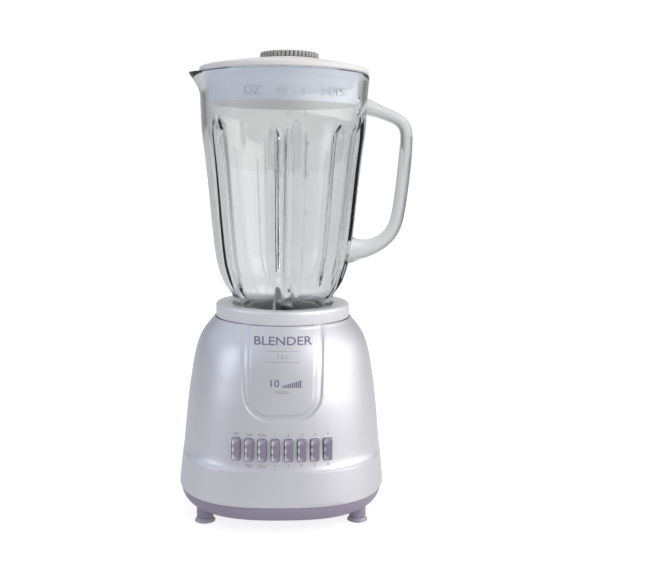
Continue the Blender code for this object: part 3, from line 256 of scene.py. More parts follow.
def pressed(name, columns, rows, shape):
    """Open tube of columns by rows, each corner pressed to shape(column share, row)."""
    obj = add(name, bpy.ops.mesh.primitive_cylinder_add, vertices=columns, radius=1, depth=1,
              end_fill_type='NOTHING')
    edit(obj)
    mesh = bmesh.from_edit_mesh(obj.data)
    for e in mesh.edges:
        a, b = e.verts
        e.select_set(abs(a.co.z - b.co.z) > 0.5)
    bmesh.update_edit_mesh(obj.data)
    bpy.ops.mesh.subdivide(number_cuts=rows - 2)
    leave_edit()
    for vertex in obj.data.vertices:
        x, y, z = vertex.co
        column = round((atan2(y, x) / (2 * pi) % 1.0) * columns) % columns
        row = round((z + 0.5) * (rows - 1))
        vertex.co = Vector(shape(column / columns, row)) * MM
    return obj


def block(name, low, high):
    """Cube with its corners at low and high."""
    return add(name, bpy.ops.mesh.primitive_cube_add, size=1,
               location=[(a + b) / 2 * MM for a, b in zip(low, high)],
               scale=[(b - a) * MM for a, b in zip(low, high)])


def upright(name, radius, low, high, x=0.0, y=0.0, sides=48):
    """Rod along Z."""
    return add(name, bpy.ops.mesh.primitive_cylinder_add, vertices=sides, radius=radius * MM,
               depth=(high - low) * MM, location=(x * MM, y * MM, (low + high) / 2 * MM))


def lying(name, radius, near, far, z, sides=48):
    """Rod along Y."""
    return add(name, bpy.ops.mesh.primitive_cylinder_add, vertices=sides, radius=radius * MM,
               depth=(far - near) * MM, location=(0, (near + far) / 2 * MM, z * MM), rotation=(pi / 2, 0, 0))


def join(name, parts):
    clear_selection()
    for part in parts:
        part.select_set(True)
    bpy.context.view_layer.objects.active = parts[0]
    bpy.ops.object.join()
    made = bpy.context.object
    made.name = name
    return made


# ---------------- materials

def sum_of(operation, swap=False):
    """Method that joins a shader value and another value by this operation."""
    return lambda self, other: self.maths(operation, other, swap=swap)


class Value:
    """A shader value that can be used in sums."""

    def __init__(self, shading, socket):
        self.shading = shading
        self.socket = socket

    def maths(self, operation, other, swap=False):
        values = (other, self) if swap else (self, other)
        return self.shading.node('ShaderNodeMath', {"operation": operation}, *values)

    __add__ = __radd__ = sum_of('ADD')
    __mul__ = __rmul__ = sum_of('MULTIPLY')
    __sub__, __rsub__ = sum_of('SUBTRACT'), sum_of('SUBTRACT', swap=True)
    __truediv__, __rtruediv__ = sum_of('DIVIDE'), sum_of('DIVIDE', swap=True)
    __pow__ = sum_of('POWER')

    def clamped(self):
        return self.maths('MINIMUM', 1.0).maths('MAXIMUM', 0.0)


class Shading:
    """A tree of shader nodes and short ways to add to it."""

    def __init__(self, tree):
        self.tree = tree

    def node(self, kind, settings=None, *values, output=0, **named):
        made = self.tree.nodes.new(kind)
        for key, value in (settings or {}).items():
            setattr(made, key, value)
        for key, value in list(enumerate(values)) + [(k.replace("_", " "), v) for k, v in named.items()]:
            self.put(made.inputs[key], value)
        return Value(self, made.outputs[output])

    def put(self, socket, value):
        if isinstance(value, Value):
            self.tree.links.new(value.socket, socket)
        else:
            socket.default_value = value

    def blend(self, factor, first, second):
        made = self.tree.nodes.new('ShaderNodeMix')
        made.data_type = 'RGBA'
        self.put(made.inputs[0], factor)
        for socket, colour in ((made.inputs[6], first), (made.inputs[7], second)):
            self.put(socket, colour if isinstance(colour, Value) else (*colour, 1.0))
        return Value(self, made.outputs[2])


class Finish(Shading):
    """A material with a Principled shader."""

    def __init__(self, name, **constants):
        self.material = bpy.data.materials.new(name)
        self.material.use_nodes = True
        super().__init__(self.material.node_tree)
        self.shader = self.tree.nodes["Principled BSDF"]
        for key, value in constants.items():
            self.shader.inputs[key.replace("_", " ")].default_value = value

    def place(self, scale=(1, 1, 1)):
        """Object coordinates, moved to the motor's axis and stretched."""
        place = self.node('ShaderNodeTexCoord', output='Object')
        return self.node('ShaderNodeMapping', None, place, Location=(-AXIS_X * MM * scale[0], 0, 0),
                         Scale=scale)

    def noise(self, size, detail=3.0, scale=(1, 1, 1), roughness=0.5):
        """Noise between 0 and 1 with features of about this size in millimetres."""
        return self.node('ShaderNodeTexNoise', None, Vector=self.place(scale), Scale=1 / (size * MM),
                         Detail=detail, Roughness=roughness)

    def along(self, axis):
        return self.node('ShaderNodeSeparateXYZ', None, self.place(), output=axis)

    def reach(self, x, y):
        """Distance from an upright line through the given place, in metres."""
        across = self.along('X') - x * MM
        back = self.along('Y') - y * MM
        return (across * across + back * back) ** 0.5

    def wear(self, key, value):
        self.put(self.shader.inputs[key], value)

    def done(self, colour, rough, height, depth):
        """The material, with a bump this deep in millimetres from a height between 0 and 1."""
        self.wear("Base Color", colour)
        self.wear("Roughness", rough)
        self.wear("Normal", self.node('ShaderNodeBump', None, Strength=1.0, Distance=depth * MM,
                                      Height=height))
        return self.material


# ---------------- finishes

def pearl(name, colour, tint, roughness, shine):
    """Pearl paint: a faint drift of tone, fine flakes and a soft moulded skin."""
    made = Finish(name, Metallic=shine, Coat_Weight=0.35, Coat_Roughness=0.22, IOR=1.5)
    drift = made.noise(46, 2.0)
    flakes = made.noise(0.22, 1.0)
    skin = made.noise(0.8, 4.0)
    return made.done(made.blend((drift * 0.5 + flakes * 0.5).clamped(), colour, tint),
                     flakes * 0.10 + drift * 0.05 + (roughness - 0.07), skin * 0.7 + flakes * 0.3, 0.012)


def plastic(name, colour, shade, roughness, grain, **extra):
    """Moulded plastic: the finish, its slow tone, its spark-eroded grain, its colour and its roughness."""
    made = Finish(name, IOR=1.46, **extra)
    tone = made.noise(30)
    fine = made.noise(grain)
    body = made.blend((tone * 0.6 + fine * 0.4).clamped(), colour, shade)
    return made, tone, fine, body, tone * 0.12 + fine * 0.08 + (roughness - 0.10)


def moulded(name, colour, shade, roughness, grain=0.5, depth=0.02):
    made, _, fine, body, rough = plastic(name, colour, shade, roughness, grain)
    return made.done(body, rough, fine, depth)


def key_plastic():
    """Glossy lilac-grey plastic with a painted highlight: paler on the left flank, most on its lobes, for
    the light that the glossy flank reflects.
    """
    made, _, fine, body, rough = plastic("key_plastic", (0.215, 0.19, 0.265), (0.265, 0.225, 0.30), 0.26,
                                         0.6, Coat_Weight=0.8, Coat_Roughness=0.08)
    # painted highlight: where the keys' attribute marks the flank, the colour is blended to a light lilac
    # white
    flank_highlight = made.node('ShaderNodeAttribute', {"attribute_name": "flank_highlight"}, output='Fac')
    return made.done(made.blend(flank_highlight, body, (0.92, 0.90, 0.96)), rough, fine, 0.01)


def lid_plastic():
    """Soft white plastic, warm on top. Below the rim, three painted marks stand in for light that comes
    through the glass: a bluish light on the skirt's outside, shade on the inner faces and a faint emission.
    """
    made, tone, fine, warm, rough = plastic("soft_lid_plastic", (0.74, 0.715, 0.69), (0.79, 0.77, 0.745),
                                            0.46, 0.7, Emission_Strength=1.0)
    below = (((JAR_RIM + 0.7) * MM - made.along('Z')) / (0.3 * MM)).clamped()
    outer = ((made.reach(0, 0) - (SKIRT_RADIUS - 1.2) * MM) / (0.6 * MM)).clamped()
    # painted light: the skirt's outside below the rim is painted a bluish white, for the light that comes
    # through the jar's glass
    skirt_painted_light = made.blend(tone, (0.72, 0.74, 0.79), (0.77, 0.79, 0.83))
    # painted shade: the inner faces below the rim are painted greyer
    inner_painted_shade = made.blend(tone, (0.70, 0.70, 0.70), (0.75, 0.75, 0.75))
    # painted light: faint emission below the rim, bluer and stronger on the skirt's outside, stands in for
    # light that comes through the glass
    painted_glow = made.blend(outer, (0.17, 0.17, 0.17), (0.15, 0.165, 0.20))
    made.wear("Emission Color", made.blend(below, (0, 0, 0), painted_glow))
    return made.done(made.blend(below, warm, made.blend(outer, inner_painted_shade, skirt_painted_light)), rough, fine, 0.02)


def pressed_glass(name, tint, roughness, depth, wave=9.0):
    """Clear glass with the slow waves that a pressed wall has."""
    made = Finish(name, Transmission_Weight=1.0, IOR=1.48)
    slow = made.noise(wave, 2.0, (1, 1, 0.45))
    fine = made.noise(1.6, 2.0)
    return made.done(made.blend(slow, tint, [0.99 * c for c in tint]),
                     fine * roughness + slow * roughness * 0.5, slow * 0.85 + fine * 0.15, depth)


def streaked(name, colour, shade, weight, roughness):
    """Clear plastic with upright streaks: the finish, its streaks, its colour and its roughness."""
    made = Finish(name, Transmission_Weight=weight, IOR=1.46)
    streak = made.noise(5, 3.0, (1, 1, 0.3))
    return made, streak, made.blend(streak, colour, shade), streak * 0.08 + roughness


def clear_plastic(name, colour, shade, weight, roughness):
    made, streak, body, rough = streaked(name, colour, shade, weight, roughness)
    return made.done(body, rough, streak, 0.03)


def knurled_plastic():
    """Clear plastic with painted shade, near black, in the grooves of its knurled side."""
    made, streak, body, rough = streaked("cap_clear_plastic", (0.72, 0.71, 0.68), (0.62, 0.61, 0.58),
                                         0.55, 0.08)
    reach = made.reach(*middle("filler_cap"))
    # painted shade: the knurl's grooves on the side are blended to near black
    groove_shade = (((CAP_RADIUS - 0.15) * MM - reach) / (0.6 * MM)).clamped()
    side = ((reach - (CAP_RADIUS - 1.25) * MM) / (0.2 * MM)).clamped()
    side = side * (((CAP_HIGH[2] - 0.6) * MM - made.along('Z')) / (0.3 * MM)).clamped()
    return made.done(made.blend(groove_shade * side, body, (0.05, 0.05, 0.045)), rough, streak, 0.03)


def metal(name, colour, shade, roughness, line=(1, 1, 12), size=6.0, depth=0.01):
    """Turned or ground metal with fine lines."""
    made = Finish(name, Metallic=1.0)
    lines = made.noise(size, 4.0, line, 0.7)
    stain = made.noise(14)
    return made.done(made.blend((lines * 0.6 + stain * 0.4).clamped(), colour, shade),
                     lines * 0.18 + stain * 0.08 + (roughness - 0.13), lines, depth)


def banded(name, colour, shade, pitch, roughness):
    """Stacked sheets or wound wire: even bands with a groove between them."""
    made = Finish(name, Metallic=1.0)
    bands = made.node('ShaderNodeTexWave', {"wave_type": 'BANDS', "bands_direction": 'Z'},
                      Vector=made.place(), Scale=1 / (pitch * MM) / 3.18, Distortion=0.35,
                      Detail=2.0, Detail_Scale=2.0, output='Fac')
    tone = made.noise(9)
    return made.done(made.blend((bands * 0.7 + tone * 0.3).clamped(), shade, colour),
                     tone * 0.15 + bands * -0.10 + roughness, bands, 0.12)


def soft_rubber(name, colour, shade):
    made = Finish(name, IOR=1.5)
    dust = made.noise(3.0, 4.0)
    fine = made.noise(0.35, 2.0)
    return made.done(made.blend((dust * 0.7 + fine * 0.3).clamped(), colour, shade),
                     dust * 0.15 + 0.55, fine, 0.03)


def ink(name, colour, shade):
    """Pad-printed ink, a little uneven in tone."""
    made = Finish(name, IOR=1.5)
    patch = made.noise(0.9)
    return made.done(made.blend(patch, colour, shade), patch * 0.2 + 0.35, patch, 0.004)


PEARL = pearl("pearl_paint", (0.64, 0.64, 0.675), (0.69, 0.685, 0.71), 0.38, 0.55)
SEAT_WHITE = pearl("seat_pearl", (0.76, 0.76, 0.79), (0.81, 0.81, 0.82), 0.36, 0.35)
LILAC = moulded("lilac_grey_plastic", (0.275, 0.24, 0.32), (0.32, 0.28, 0.36), 0.36, 0.5, 0.015)
KEY_LILAC = key_plastic()
COLLAR_WHITE = moulded("collar_plastic", (0.62, 0.61, 0.62), (0.68, 0.67, 0.68), 0.42, 0.5, 0.02)
GLASS = pressed_glass("jar_glass", (0.982, 0.992, 0.988), 0.012, 0.04)
RELIEF_GLASS = pressed_glass("raised_glass", (0.88, 0.90, 0.90), 0.10, 0.02, 3.0)
CAP_CLEAR = knurled_plastic()
FOOT_CLEAR = clear_plastic("foot_clear_rubber", (0.60, 0.59, 0.68), (0.52, 0.51, 0.60), 0.45, 0.22)
STEEL = metal("ground_steel", (0.60, 0.61, 0.62), (0.46, 0.47, 0.49), 0.24)
DISC_STEEL = metal("turned_steel", (0.62, 0.62, 0.63), (0.50, 0.51, 0.52), 0.26, (1, 1, 4), 3.0)
ALUMINIUM = metal("cast_aluminium", (0.56, 0.57, 0.58), (0.42, 0.43, 0.45), 0.48, (1, 1, 1), 1.2, 0.06)
BRASS = metal("turned_brass", (0.72, 0.53, 0.24), (0.55, 0.38, 0.15), 0.30)
SHEETS = banded("stacked_sheets", (0.30, 0.30, 0.33), (0.13, 0.13, 0.15), 0.8, 0.42)
WIRE = banded("enamelled_wire", (0.66, 0.27, 0.11), (0.34, 0.11, 0.04), 0.9, 0.30)
CARBON = moulded("pressed_carbon", (0.035, 0.035, 0.04), (0.06, 0.06, 0.065), 0.66, 0.4, 0.03)
BLACK_PLASTIC = moulded("black_plastic", (0.035, 0.035, 0.04), (0.06, 0.06, 0.065), 0.48, 0.5, 0.03)
BLACK_RUBBER = soft_rubber("black_rubber", (0.022, 0.022, 0.024), (0.05, 0.05, 0.052))
DARK_INK = ink("dark_print", (0.14, 0.12, 0.20), (0.20, 0.17, 0.26))
PALE_INK = ink("pale_print", (0.36, 0.29, 0.36), (0.44, 0.36, 0.42))
LABEL_INK = ink("label_print", (0.40, 0.28, 0.34), (0.48, 0.34, 0.40))


# ---------------- the housing's form

CREASE = 51.3                  # height of the ridge round the skirt
SKIRT_POWER = 2.62
DOME_POWER = 2.40
# share of the height, share of the way from the top radius to the bottom one
SIDE_CURVE = ((0.0, 1.0), (0.10, 0.955), (0.26, 0.872), (0.42, 0.805), (0.56, 0.733),
              (0.665, 0.66), (0.73, 0.613), (0.81, 0.53), (0.885, 0.405), (0.945, 0.225), (1.0, 0.0))
WALL = 2.6
INLET_RADIUS = 5.3
INLET_HEIGHT = 38.0
WINDOW_GAP = 0.15              # between a key and the edge of its window
KEY_CORNER = 1.3
KEY_EDGE = 0.7                 # radius of the edge round a key's face
KEY_SINK = 0.8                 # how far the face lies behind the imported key's front
KEY_FLANK = 2.0                # width of the sloping flank on each key's left
PANEL_BOTTOM = 92.3
PANEL_CORNER = 17.0
GROOVE_DEPTH = 1.9
FLATTEN = 0.5                  # how much flatter the panel is than the dome round it


def side_radius(z):
    share = (z - HOUSE_BOTTOM) / (HOUSE_TOP - HOUSE_BOTTOM)
    bead = 0.3 * ease((z - HOUSE_TOP + 2.2) / 0.8)
    return mix(RING_RADIUS + 0.7, HALF, smooth_curve(SIDE_CURVE, share)) + bead


def section_power(z):
    if z <= CREASE:
        return SKIRT_POWER
    drop = 1 - exp(-(z - CREASE) / 2.0)
    rise = (z - CREASE) / (HOUSE_TOP - CREASE)
    return mix(mix(SKIRT_POWER, DOME_POWER, drop), 2.0, ease(rise) ** 0.8)


def polar_radius(angle, z):
    """Radius of the rounded square in this direction; 0 is the front."""
    n = section_power(z)
    c, s = abs(cos(angle)), abs(sin(angle))
    radius = side_radius(z) / (c ** n + s ** n) ** (1 / n)
    if z > CREASE:
        cove = 1.9 * (1 - exp(-(z - CREASE) / 1.7)) * ease((112 - z) / 58)
        radius -= cove * c * c
    return radius


def dome_front(x, z):
    """Depth of the plain housing in front of the axis at x."""
    y = side_radius(z)
    for _ in range(8):
        angle = atan2(x, y)
        y = polar_radius(angle, z) * cos(angle)
    return y


def panel_distance(x, z):
    """Distance outwards from the middle of the grooved U, and how much it faces down."""
    across = mix(26.6, 28.6, (z - 95) / 62)
    qx = abs(x) - (across - PANEL_CORNER)
    qz = PANEL_BOTTOM + PANEL_CORNER - z
    if qx > 0 and qz > 0:
        far = hypot(qx, qz)
        return far - PANEL_CORNER, qz / far
    return max(qx, qz) - PANEL_CORNER, 1.0 if qz > qx else 0.0


def front_relief(x, z):
    """How far the front stands out from the plain housing: the flat panel and its groove."""
    s, down = panel_distance(x, z)
    half = mix(3.7, 2.9, down)
    if s >= half:
        return 0.0
    flat = FLATTEN * ease((HOUSE_TOP - z) / 34)
    proud = flat * (dome_front(0, z) - dome_front(x, z))
    if s <= -half:
        return proud
    t = (s + half) / (2 * half)
    return proud * (1 - ease(t)) - GROOVE_DEPTH * (1 - (2 * t - 1) ** 2)


def front_surface(x, z):
    return dome_front(x, z) + front_relief(x, z)


def make_housing():
    """Shell of the motor base with its ridge, grooved panel and key windows."""
    angles = spaced([(-31, 0), (31, 0.58), (329, 3.0)])[:-1]
    heights = spaced([(HOUSE_BOTTOM, 0), (HOUSE_BOTTOM + 1, 0.5), (CREASE - 0.8, 3.2), (CREASE + 1.2, 0.33),
                      (CREASE + 9, 0.9), (86, 2.2), (101, 0.6), (HOUSE_TOP - 3, 1.5), (HOUSE_TOP, 0.5)])

    def shape(share, row):
        angle = radians(angles[round(share * len(angles))])
        z = heights[row]
        edge = 0.6 * (1 - ease((z - HOUSE_BOTTOM) / 1.0))
        radius = polar_radius(angle, z) - edge
        x, y = radius * sin(angle), -radius * cos(angle)
        if y < 0 and abs(x) < 40 and z > 80:
            y -= front_relief(x, z)
        return x, y, z

    shell = pressed("housing_shell", len(angles), len(heights), shape)
    tidy(shell, 40)
    modify(shell, 'SOLIDIFY', thickness=WALL * MM, offset=-1.0, use_even_offset=False)
    cutters = []
    half = KEY_HALF + WINDOW_GAP
    for x, low, high in KEY_SPOTS:
        cutter = block("window", (x - half, -HALF - 4, low - WINDOW_GAP),
                       (x + half, -HALF + 22, high + WINDOW_GAP))
        cutters.append(rounded(cutter, KEY_CORNER, 4, 60))
    combine(shell, join("windows", cutters), 'DIFFERENCE')
    combine(shell, lying("inlet", INLET_RADIUS, HALF - 14, HALF + 4, INLET_HEIGHT), 'DIFFERENCE')
    tidy(shell, 32)
    stand(shell, PEARL, "base")
    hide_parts("housing")


# ---------------- keys

def lobes(up, half, power):
    """Height between 0 and 1 of the three lobes, at this place above the key's lower end."""
    return abs(sin(1.5 * pi * up / half)) ** power


def rounded_outline(per):
    """Signs and turn of each point round a rectangle with rounded corners."""
    outline = []
    for sx, sz, start in ((1, 1, 0), (-1, 1, 1), (-1, -1, 2), (1, -1, 3)):
        outline += [(sx, sz, (start + k / (per - 1)) * pi / 2) for k in range(per)]
    return outline


def make_key_frames():
    """Thin raised lip round each key window."""
    outline = rounded_outline(6)
    # section of the lip: (distance out from the window's edge, height over the housing)
    section = ((0.0, -0.9), (0.0, 0.06), (0.2, 0.2), (0.5, 0.18), (0.75, 0.0), (0.8, -0.9))
    for name, (x, low, high) in zip(KEYS, KEY_SPOTS):
        mid_z = (low + high) / 2
        tall = (high - low) / 2 + WINDOW_GAP - KEY_CORNER

        def shape(share, row):
            sx, sz, a = outline[round(share * len(outline))]
            out, height = section[row]
            px = x + sx * (KEY_HALF + WINDOW_GAP - KEY_CORNER) + (KEY_CORNER + out) * cos(a)
            pz = mid_z + sz * tall + (KEY_CORNER + out) * sin(a)
            return px, -front_surface(px, pz) - height, pz

        lip = close_up(pressed("frame_of_" + name, len(outline), len(section), shape), bridge=True)
        stand(lip, PEARL, "base")


def key_outline():
    """Outline of a key with points all along its long sides, for the lobes."""
    corners = rounded_outline(6)
    outline = []
    for place, (sx, sz, a) in enumerate(corners):
        outline.append((sx, sz, a))
        after = corners[(place + 1) % len(corners)]
        if after[0] == sx and after[1] != sz:
            outline += [(sx, mix(sz, after[1], k / 40), a) for k in range(1, 40)]
    return outline


def make_keys():
    """Push keys with a sloping flank and three lobes down each face."""
    edge = KEY_EDGE
    outline = key_outline()
    rows = [("side", 0.0), ("side", 0.5), ("side", 0.98)]
    rows += [("edge", k / 8) for k in range(9)]
    rows += [("face", k / 18) for k in range(1, 19)]
    for name, (x, low, high) in zip(KEYS, KEY_SPOTS):
        box_low, box_high = node_box(name)
        half_z = (high - low) / 2
        mid_z = (low + high) / 2
        face, rear = box_low[1] + KEY_SINK, box_high[1]

        def shape(share, row):
            sx, sz, a = outline[round(share * len(outline))]
            kind, t = rows[row]
            y = mix(rear, face + edge, t) if kind == "side" else face
            inset = 0.0 if kind == "side" else edge
            if kind == "edge":
                y += edge * (1 - sin(t * pi / 2))
                inset = edge * (1 - cos(t * pi / 2))
            curl = max(KEY_CORNER - inset, 0.25)
            px = sx * (KEY_HALF - inset - curl) + curl * cos(a)
            pz = sz * (half_z - inset - curl) + curl * sin(a)
            if kind == "face":
                px, pz = px * (1 - 0.97 * t), pz * (1 - 0.97 * t)
            if kind != "side":
                lobe = lobes(pz + half_z, half_z, 0.5)
                flank = within((KEY_FLANK - KEY_HALF - px) / KEY_FLANK)
                y += 0.25 * (px / KEY_HALF) ** 2 + 0.25 * (1 - lobe) + flank * (0.95 + 0.55 * (1 - lobe))
            return x + px, y, mid_z + pz

        key = close_up(pressed(name + "_cap", len(outline), len(rows), shape))
        # painted highlight: each vertex on the left flank gets a share of painted reflection, strongest on
        # the three lobes
        flank_highlight = key.data.attributes.new("flank_highlight", 'FLOAT', 'POINT')
        for vertex in key.data.vertices:
            px, pz = vertex.co.x / MM - x, vertex.co.z / MM - mid_z
            slope = within((KEY_FLANK - KEY_HALF - px) / KEY_FLANK * 2.2)
            flank_highlight.data[vertex.index].value = slope * (0.25 + 0.75 * lobes(pz + half_z, half_z, 1.2))
        stand(key, KEY_LILAC, name)
        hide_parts(name)


# ---------------- seat, base plate, feet, inlet

def make_seat():
    """Ring on the housing with a rounded shoulder, and the socket under it."""
    low = HOUSE_TOP + GAP
    top = RING_TOP
    ring = RING_RADIUS
    socket = COLLAR_RADIUS + 0.7
    ledge = COLLAR_LOW[2] - GAP
    well = 25.0
    floor_top = SEAT_LOW[2] + 6.3
    outline = [(ring - 0.3, low - 0.15), (ring - 0.05, low), (ring, low + 0.3), (ring, top - 3.4)]
    for k in range(7):
        a = pi / 2 - pi / 2 * k / 6
        outline.append((ring - 1.9 * (1 - sin(a)), top - 2.0 * (1 - cos(a))))
    outline += [(ring - 4.0, top), (socket + 1.2, top - 0.45), (socket + 0.3, top - 0.8),
                (socket, top - 1.5), (socket, ledge), (well, ledge), (well, floor_top),
                (6.6, floor_top), (6.6, floor_top - 3), (well + 3, floor_top - 3), (well + 3, ledge - 3),
                (socket + 3, ledge - 3), (socket + 3, low - 3), (ring - 4.2, low - 3), (ring - 4.2, low)]
    seat = turned("seat_ring", outline, 192)
    bosses = [upright("boss", 5.0, SEAT_LOW[2], ledge - 1.5, 0.0, y, 32) for y in (-32, 32)]
    combine(seat, join("seat_bosses", bosses), 'UNION')
    tidy(seat, 40)
    stand(seat, SEAT_WHITE, "base")
    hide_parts("jar_seat")


def make_base_plate():
    """Pan with a rounded edge, four posts for the feet, screw tubes and air slots."""
    top = HOUSE_BOTTOM - GAP
    bottom = 10.0
    outer = half_width("base_plate")
    curve = 14.3
    centre = outer - curve
    lip = outer - 3.2
    deep = top - bottom
    rows = []
    for k in range(13):
        a = pi / 2 * k / 12
        rows.append((centre + (lip - 2.6 - centre) * sin(a), top - (deep - 2.8) * cos(a)))
    rows += [(lip - 2.6, top + 3.0), (lip - 2.3, top + 3.6), (lip - 0.3, top + 3.6), (lip, top + 3.2),
             (lip, top), (outer - 0.5, top), (outer - 0.1, top - 0.2)]
    for k in range(1, 15):
        a = pi / 2 * k / 14
        rows.append((centre + curve * cos(a) ** 0.92, top - deep * sin(a)))

    def shape(share, row):
        half, z = rows[row]
        angle = 2 * pi * share
        n = SKIRT_POWER
        r = half / (abs(cos(angle)) ** n + abs(sin(angle)) ** n) ** (1 / n)
        return r * cos(angle), r * sin(angle), z

    plate = close_up(pressed("base_pan", 192, len(rows), shape))
    posts = [rounded(upright("post", 6.6, 3.5, bottom + 6, x, y), 0.6, 3, 60) for x, y in FOOT_SPOTS]
    combine(plate, join("posts", posts), 'UNION')
    tubes = [upright("tube", 5.5, bottom + 1, HOUSE_BOTTOM + 3.2, x, y) for x, y in SCREW_SPOTS]
    combine(plate, join("tubes", tubes), 'UNION')
    holes = [upright("hole", 3.1, 2, bottom + 2, x, y) for x, y in FOOT_SPOTS]
    holes += [upright("hole", 2.2, bottom + 3, 32, x, y) for x, y in SCREW_SPOTS]
    holes += [upright("hole", 4.2, bottom - 1, bottom + 3.4, x, y) for x, y in SCREW_SPOTS]
    for k in range(16):
        slot = rounded(block("slot", (16, -1.6, bottom - 1), (34, 1.6, bottom + 6)), 1.5, 3, 60)
        slot.data.transform(Matrix.Rotation(2 * pi * k / 16, 4, 'Z'))
        holes.append(slot)
    combine(plate, join("holes", holes), 'DIFFERENCE')
    tidy(plate, 34)
    stand(plate, LILAC, "base")
    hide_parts("base_plate")


def make_feet():
    """Clear suction cups on a stem."""
    for name, (x, y) in zip(FEET, FOOT_SPOTS):
        top = node_box(name)[1][2]
        radius = half_width(name)
        outline = [(0.4, 1.7), (1.4, 1.5), (2.4, 0.8), (3.1, 0.1), (3.7, 0.0), (radius - 0.5, 0.0),
                   (radius - 0.1, 0.2), (radius, 0.6), (radius - 0.4, 1.3), (radius - 1.1, 2.2),
                   (radius - 1.5, 2.9), (radius - 1.8, 3.2), (2.8, 3.2), (2.8, 9.6), (2.4, top), (0.4, top)]
        foot = turned(name + "_cup", outline, 64, closed=False)
        foot.data.transform(Matrix.Translation((x * MM, y * MM, 0)))
        stand(foot, FOOT_CLEAR, "base")
        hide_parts(name)


def make_inlet():
    """Rubber grommet with rounded lips that lines the cord inlet."""
    low, high = node_box("cord_gland")
    z = (low[2] + high[2]) / 2
    near, far = low[1], high[1]
    outline = [(3.2, near), (5.0, near), (5.0, far - 1.5), (7.6, far - 1.5), (8.0, far - 1.1),
               (7.9, far - 0.5), (7.2, far), (4.2, far), (3.5, far - 0.3), (3.2, far - 1.0)]
    grommet = turned("inlet_grommet", outline, 64)
    grommet.data.transform(Matrix.Translation((0, 0, z * MM)) @ Matrix.Rotation(-pi / 2, 4, 'X'))
    tidy(grommet)
    stand(grommet, BLACK_RUBBER, "base")
    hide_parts("cord_gland")


# ---------------- jar

JAR_SHOULDER = 170.4
NECK = 35.6
NECK_TOP = 165.8
SHOULDER_RADIUS = 39.5
RIM_RADIUS = 68.3
GLASS_WALL = 4.0
GLASS_CURVE = ((0.0, 0.0), (0.042, 0.105), (0.075, 0.26), (0.113, 0.375), (0.188, 0.515),
               (0.33, 0.628), (0.45, 0.70), (0.523, 0.742), (0.64, 0.815), (0.767, 0.91),
               (0.86, 0.936), (0.915, 0.951), (1.0, 1.0))
FLUTES = 6
FLUTE_DEPTH = 7.6
FLUTE_ANGLE = 5.6              # degrees to each side
SPOUT_REACH = 8.4
SPOUT_ANGLE = 23.0
SPOUT_DROP = 16.0
RIM_ROUND = 2.2                # height of the rim's rounded edge


def jar_share(z):
    return (z - JAR_SHOULDER) / (JAR_RIM - JAR_SHOULDER)


def jar_radius(z):
    if z <= JAR_SHOULDER:
        return mix(NECK, SHOULDER_RADIUS, ease((z - NECK_TOP) / (JAR_SHOULDER - NECK_TOP)) ** 1.4)
    return mix(SHOULDER_RADIUS, RIM_RADIUS, smooth_curve(GLASS_CURVE, jar_share(z)))


def flute(angle, z, depth=FLUTE_DEPTH, wide=FLUTE_ANGLE):
    """Depth of the ribs pressed into the wall: an arch at the top, a tear drop at the bottom."""
    pitch = 360.0 / FLUTES
    off = abs((angle + pitch / 2) % pitch - pitch / 2) / wide
    share = jar_share(z)
    ends = ease((share - 0.035) / 0.11) * ease((0.805 - 0.05 * off * off - share) / 0.06)
    if off >= 0.99 or ends <= 0:
        return 0.0
    return depth * ends * (1 - hypot(off, 0.10)) ** 1.2


def spout(angle, z):
    off = abs((angle - 90.0) % 360.0 - 180.0)
    drop = (JAR_RIM - z) / SPOUT_DROP
    if off >= SPOUT_ANGLE or drop >= 1:
        return 0.0
    across = 0.5 * (1 + cos(pi * off / SPOUT_ANGLE))
    return SPOUT_REACH * (1 - drop) ** 1.7 * across ** 1.2


def glass_spot(angle, z, inward):
    """Place on the wall, this far in from its outer side; the ribs are wider inside."""
    a = radians(angle - 90)
    if inward < GLASS_WALL * 0.6:
        ribs = flute(angle, z)
    else:
        ribs = flute(angle, z, FLUTE_DEPTH * 0.95, FLUTE_ANGLE + 3.6)
    r = jar_radius(z) - ribs + spout(angle, z) - inward
    return r * cos(a), r * sin(a), z


def make_glass():
    """Pressed glass jar: fluted wall, rounded rim with a pouring lip, and the handle."""
    heights = spaced([(JAR_BOTTOM, 0), (NECK_TOP, 4.0), (JAR_SHOULDER + 6, 1.0), (200, 1.7), (302, 2.6),
                      (324, 1.0), (334, 2.2), (JAR_RIM - RIM_ROUND, 1.1)])
    half = GLASS_WALL / 2
    rows = [(z, 0.0) for z in heights]
    for k in range(1, 10):
        a = pi * k / 10
        rows.append((JAR_RIM - RIM_ROUND + RIM_ROUND * sin(a), half * (1 - cos(a))))
    rows += [(z, GLASS_WALL) for z in reversed(heights)]
    stops = [(-10, 0)]
    for k in range(FLUTES):
        stops += [(60 * k + 10, 0.62), (60 * k + 50, 2.2)]
    angles = spaced(stops)[:-1]
    columns = len(angles)

    def shape(share, row):
        z, inward = rows[row]
        return glass_spot(angles[round(share * columns)], z, inward)

    def inner_core(share, row):
        return glass_spot(angles[round(share * columns)], heights[row], half)

    jar = close_up(pressed("glass_jar", columns, len(rows), shape), bridge=True)
    core = close_up(pressed("core", columns, len(heights), inner_core))
    handle = combine(make_handle(), core, 'DIFFERENCE')
    combine(jar, handle, 'UNION')
    tidy(jar, 45)
    stand(jar, GLASS, "jar", JAR_TURN)
    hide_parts("jar_glass")


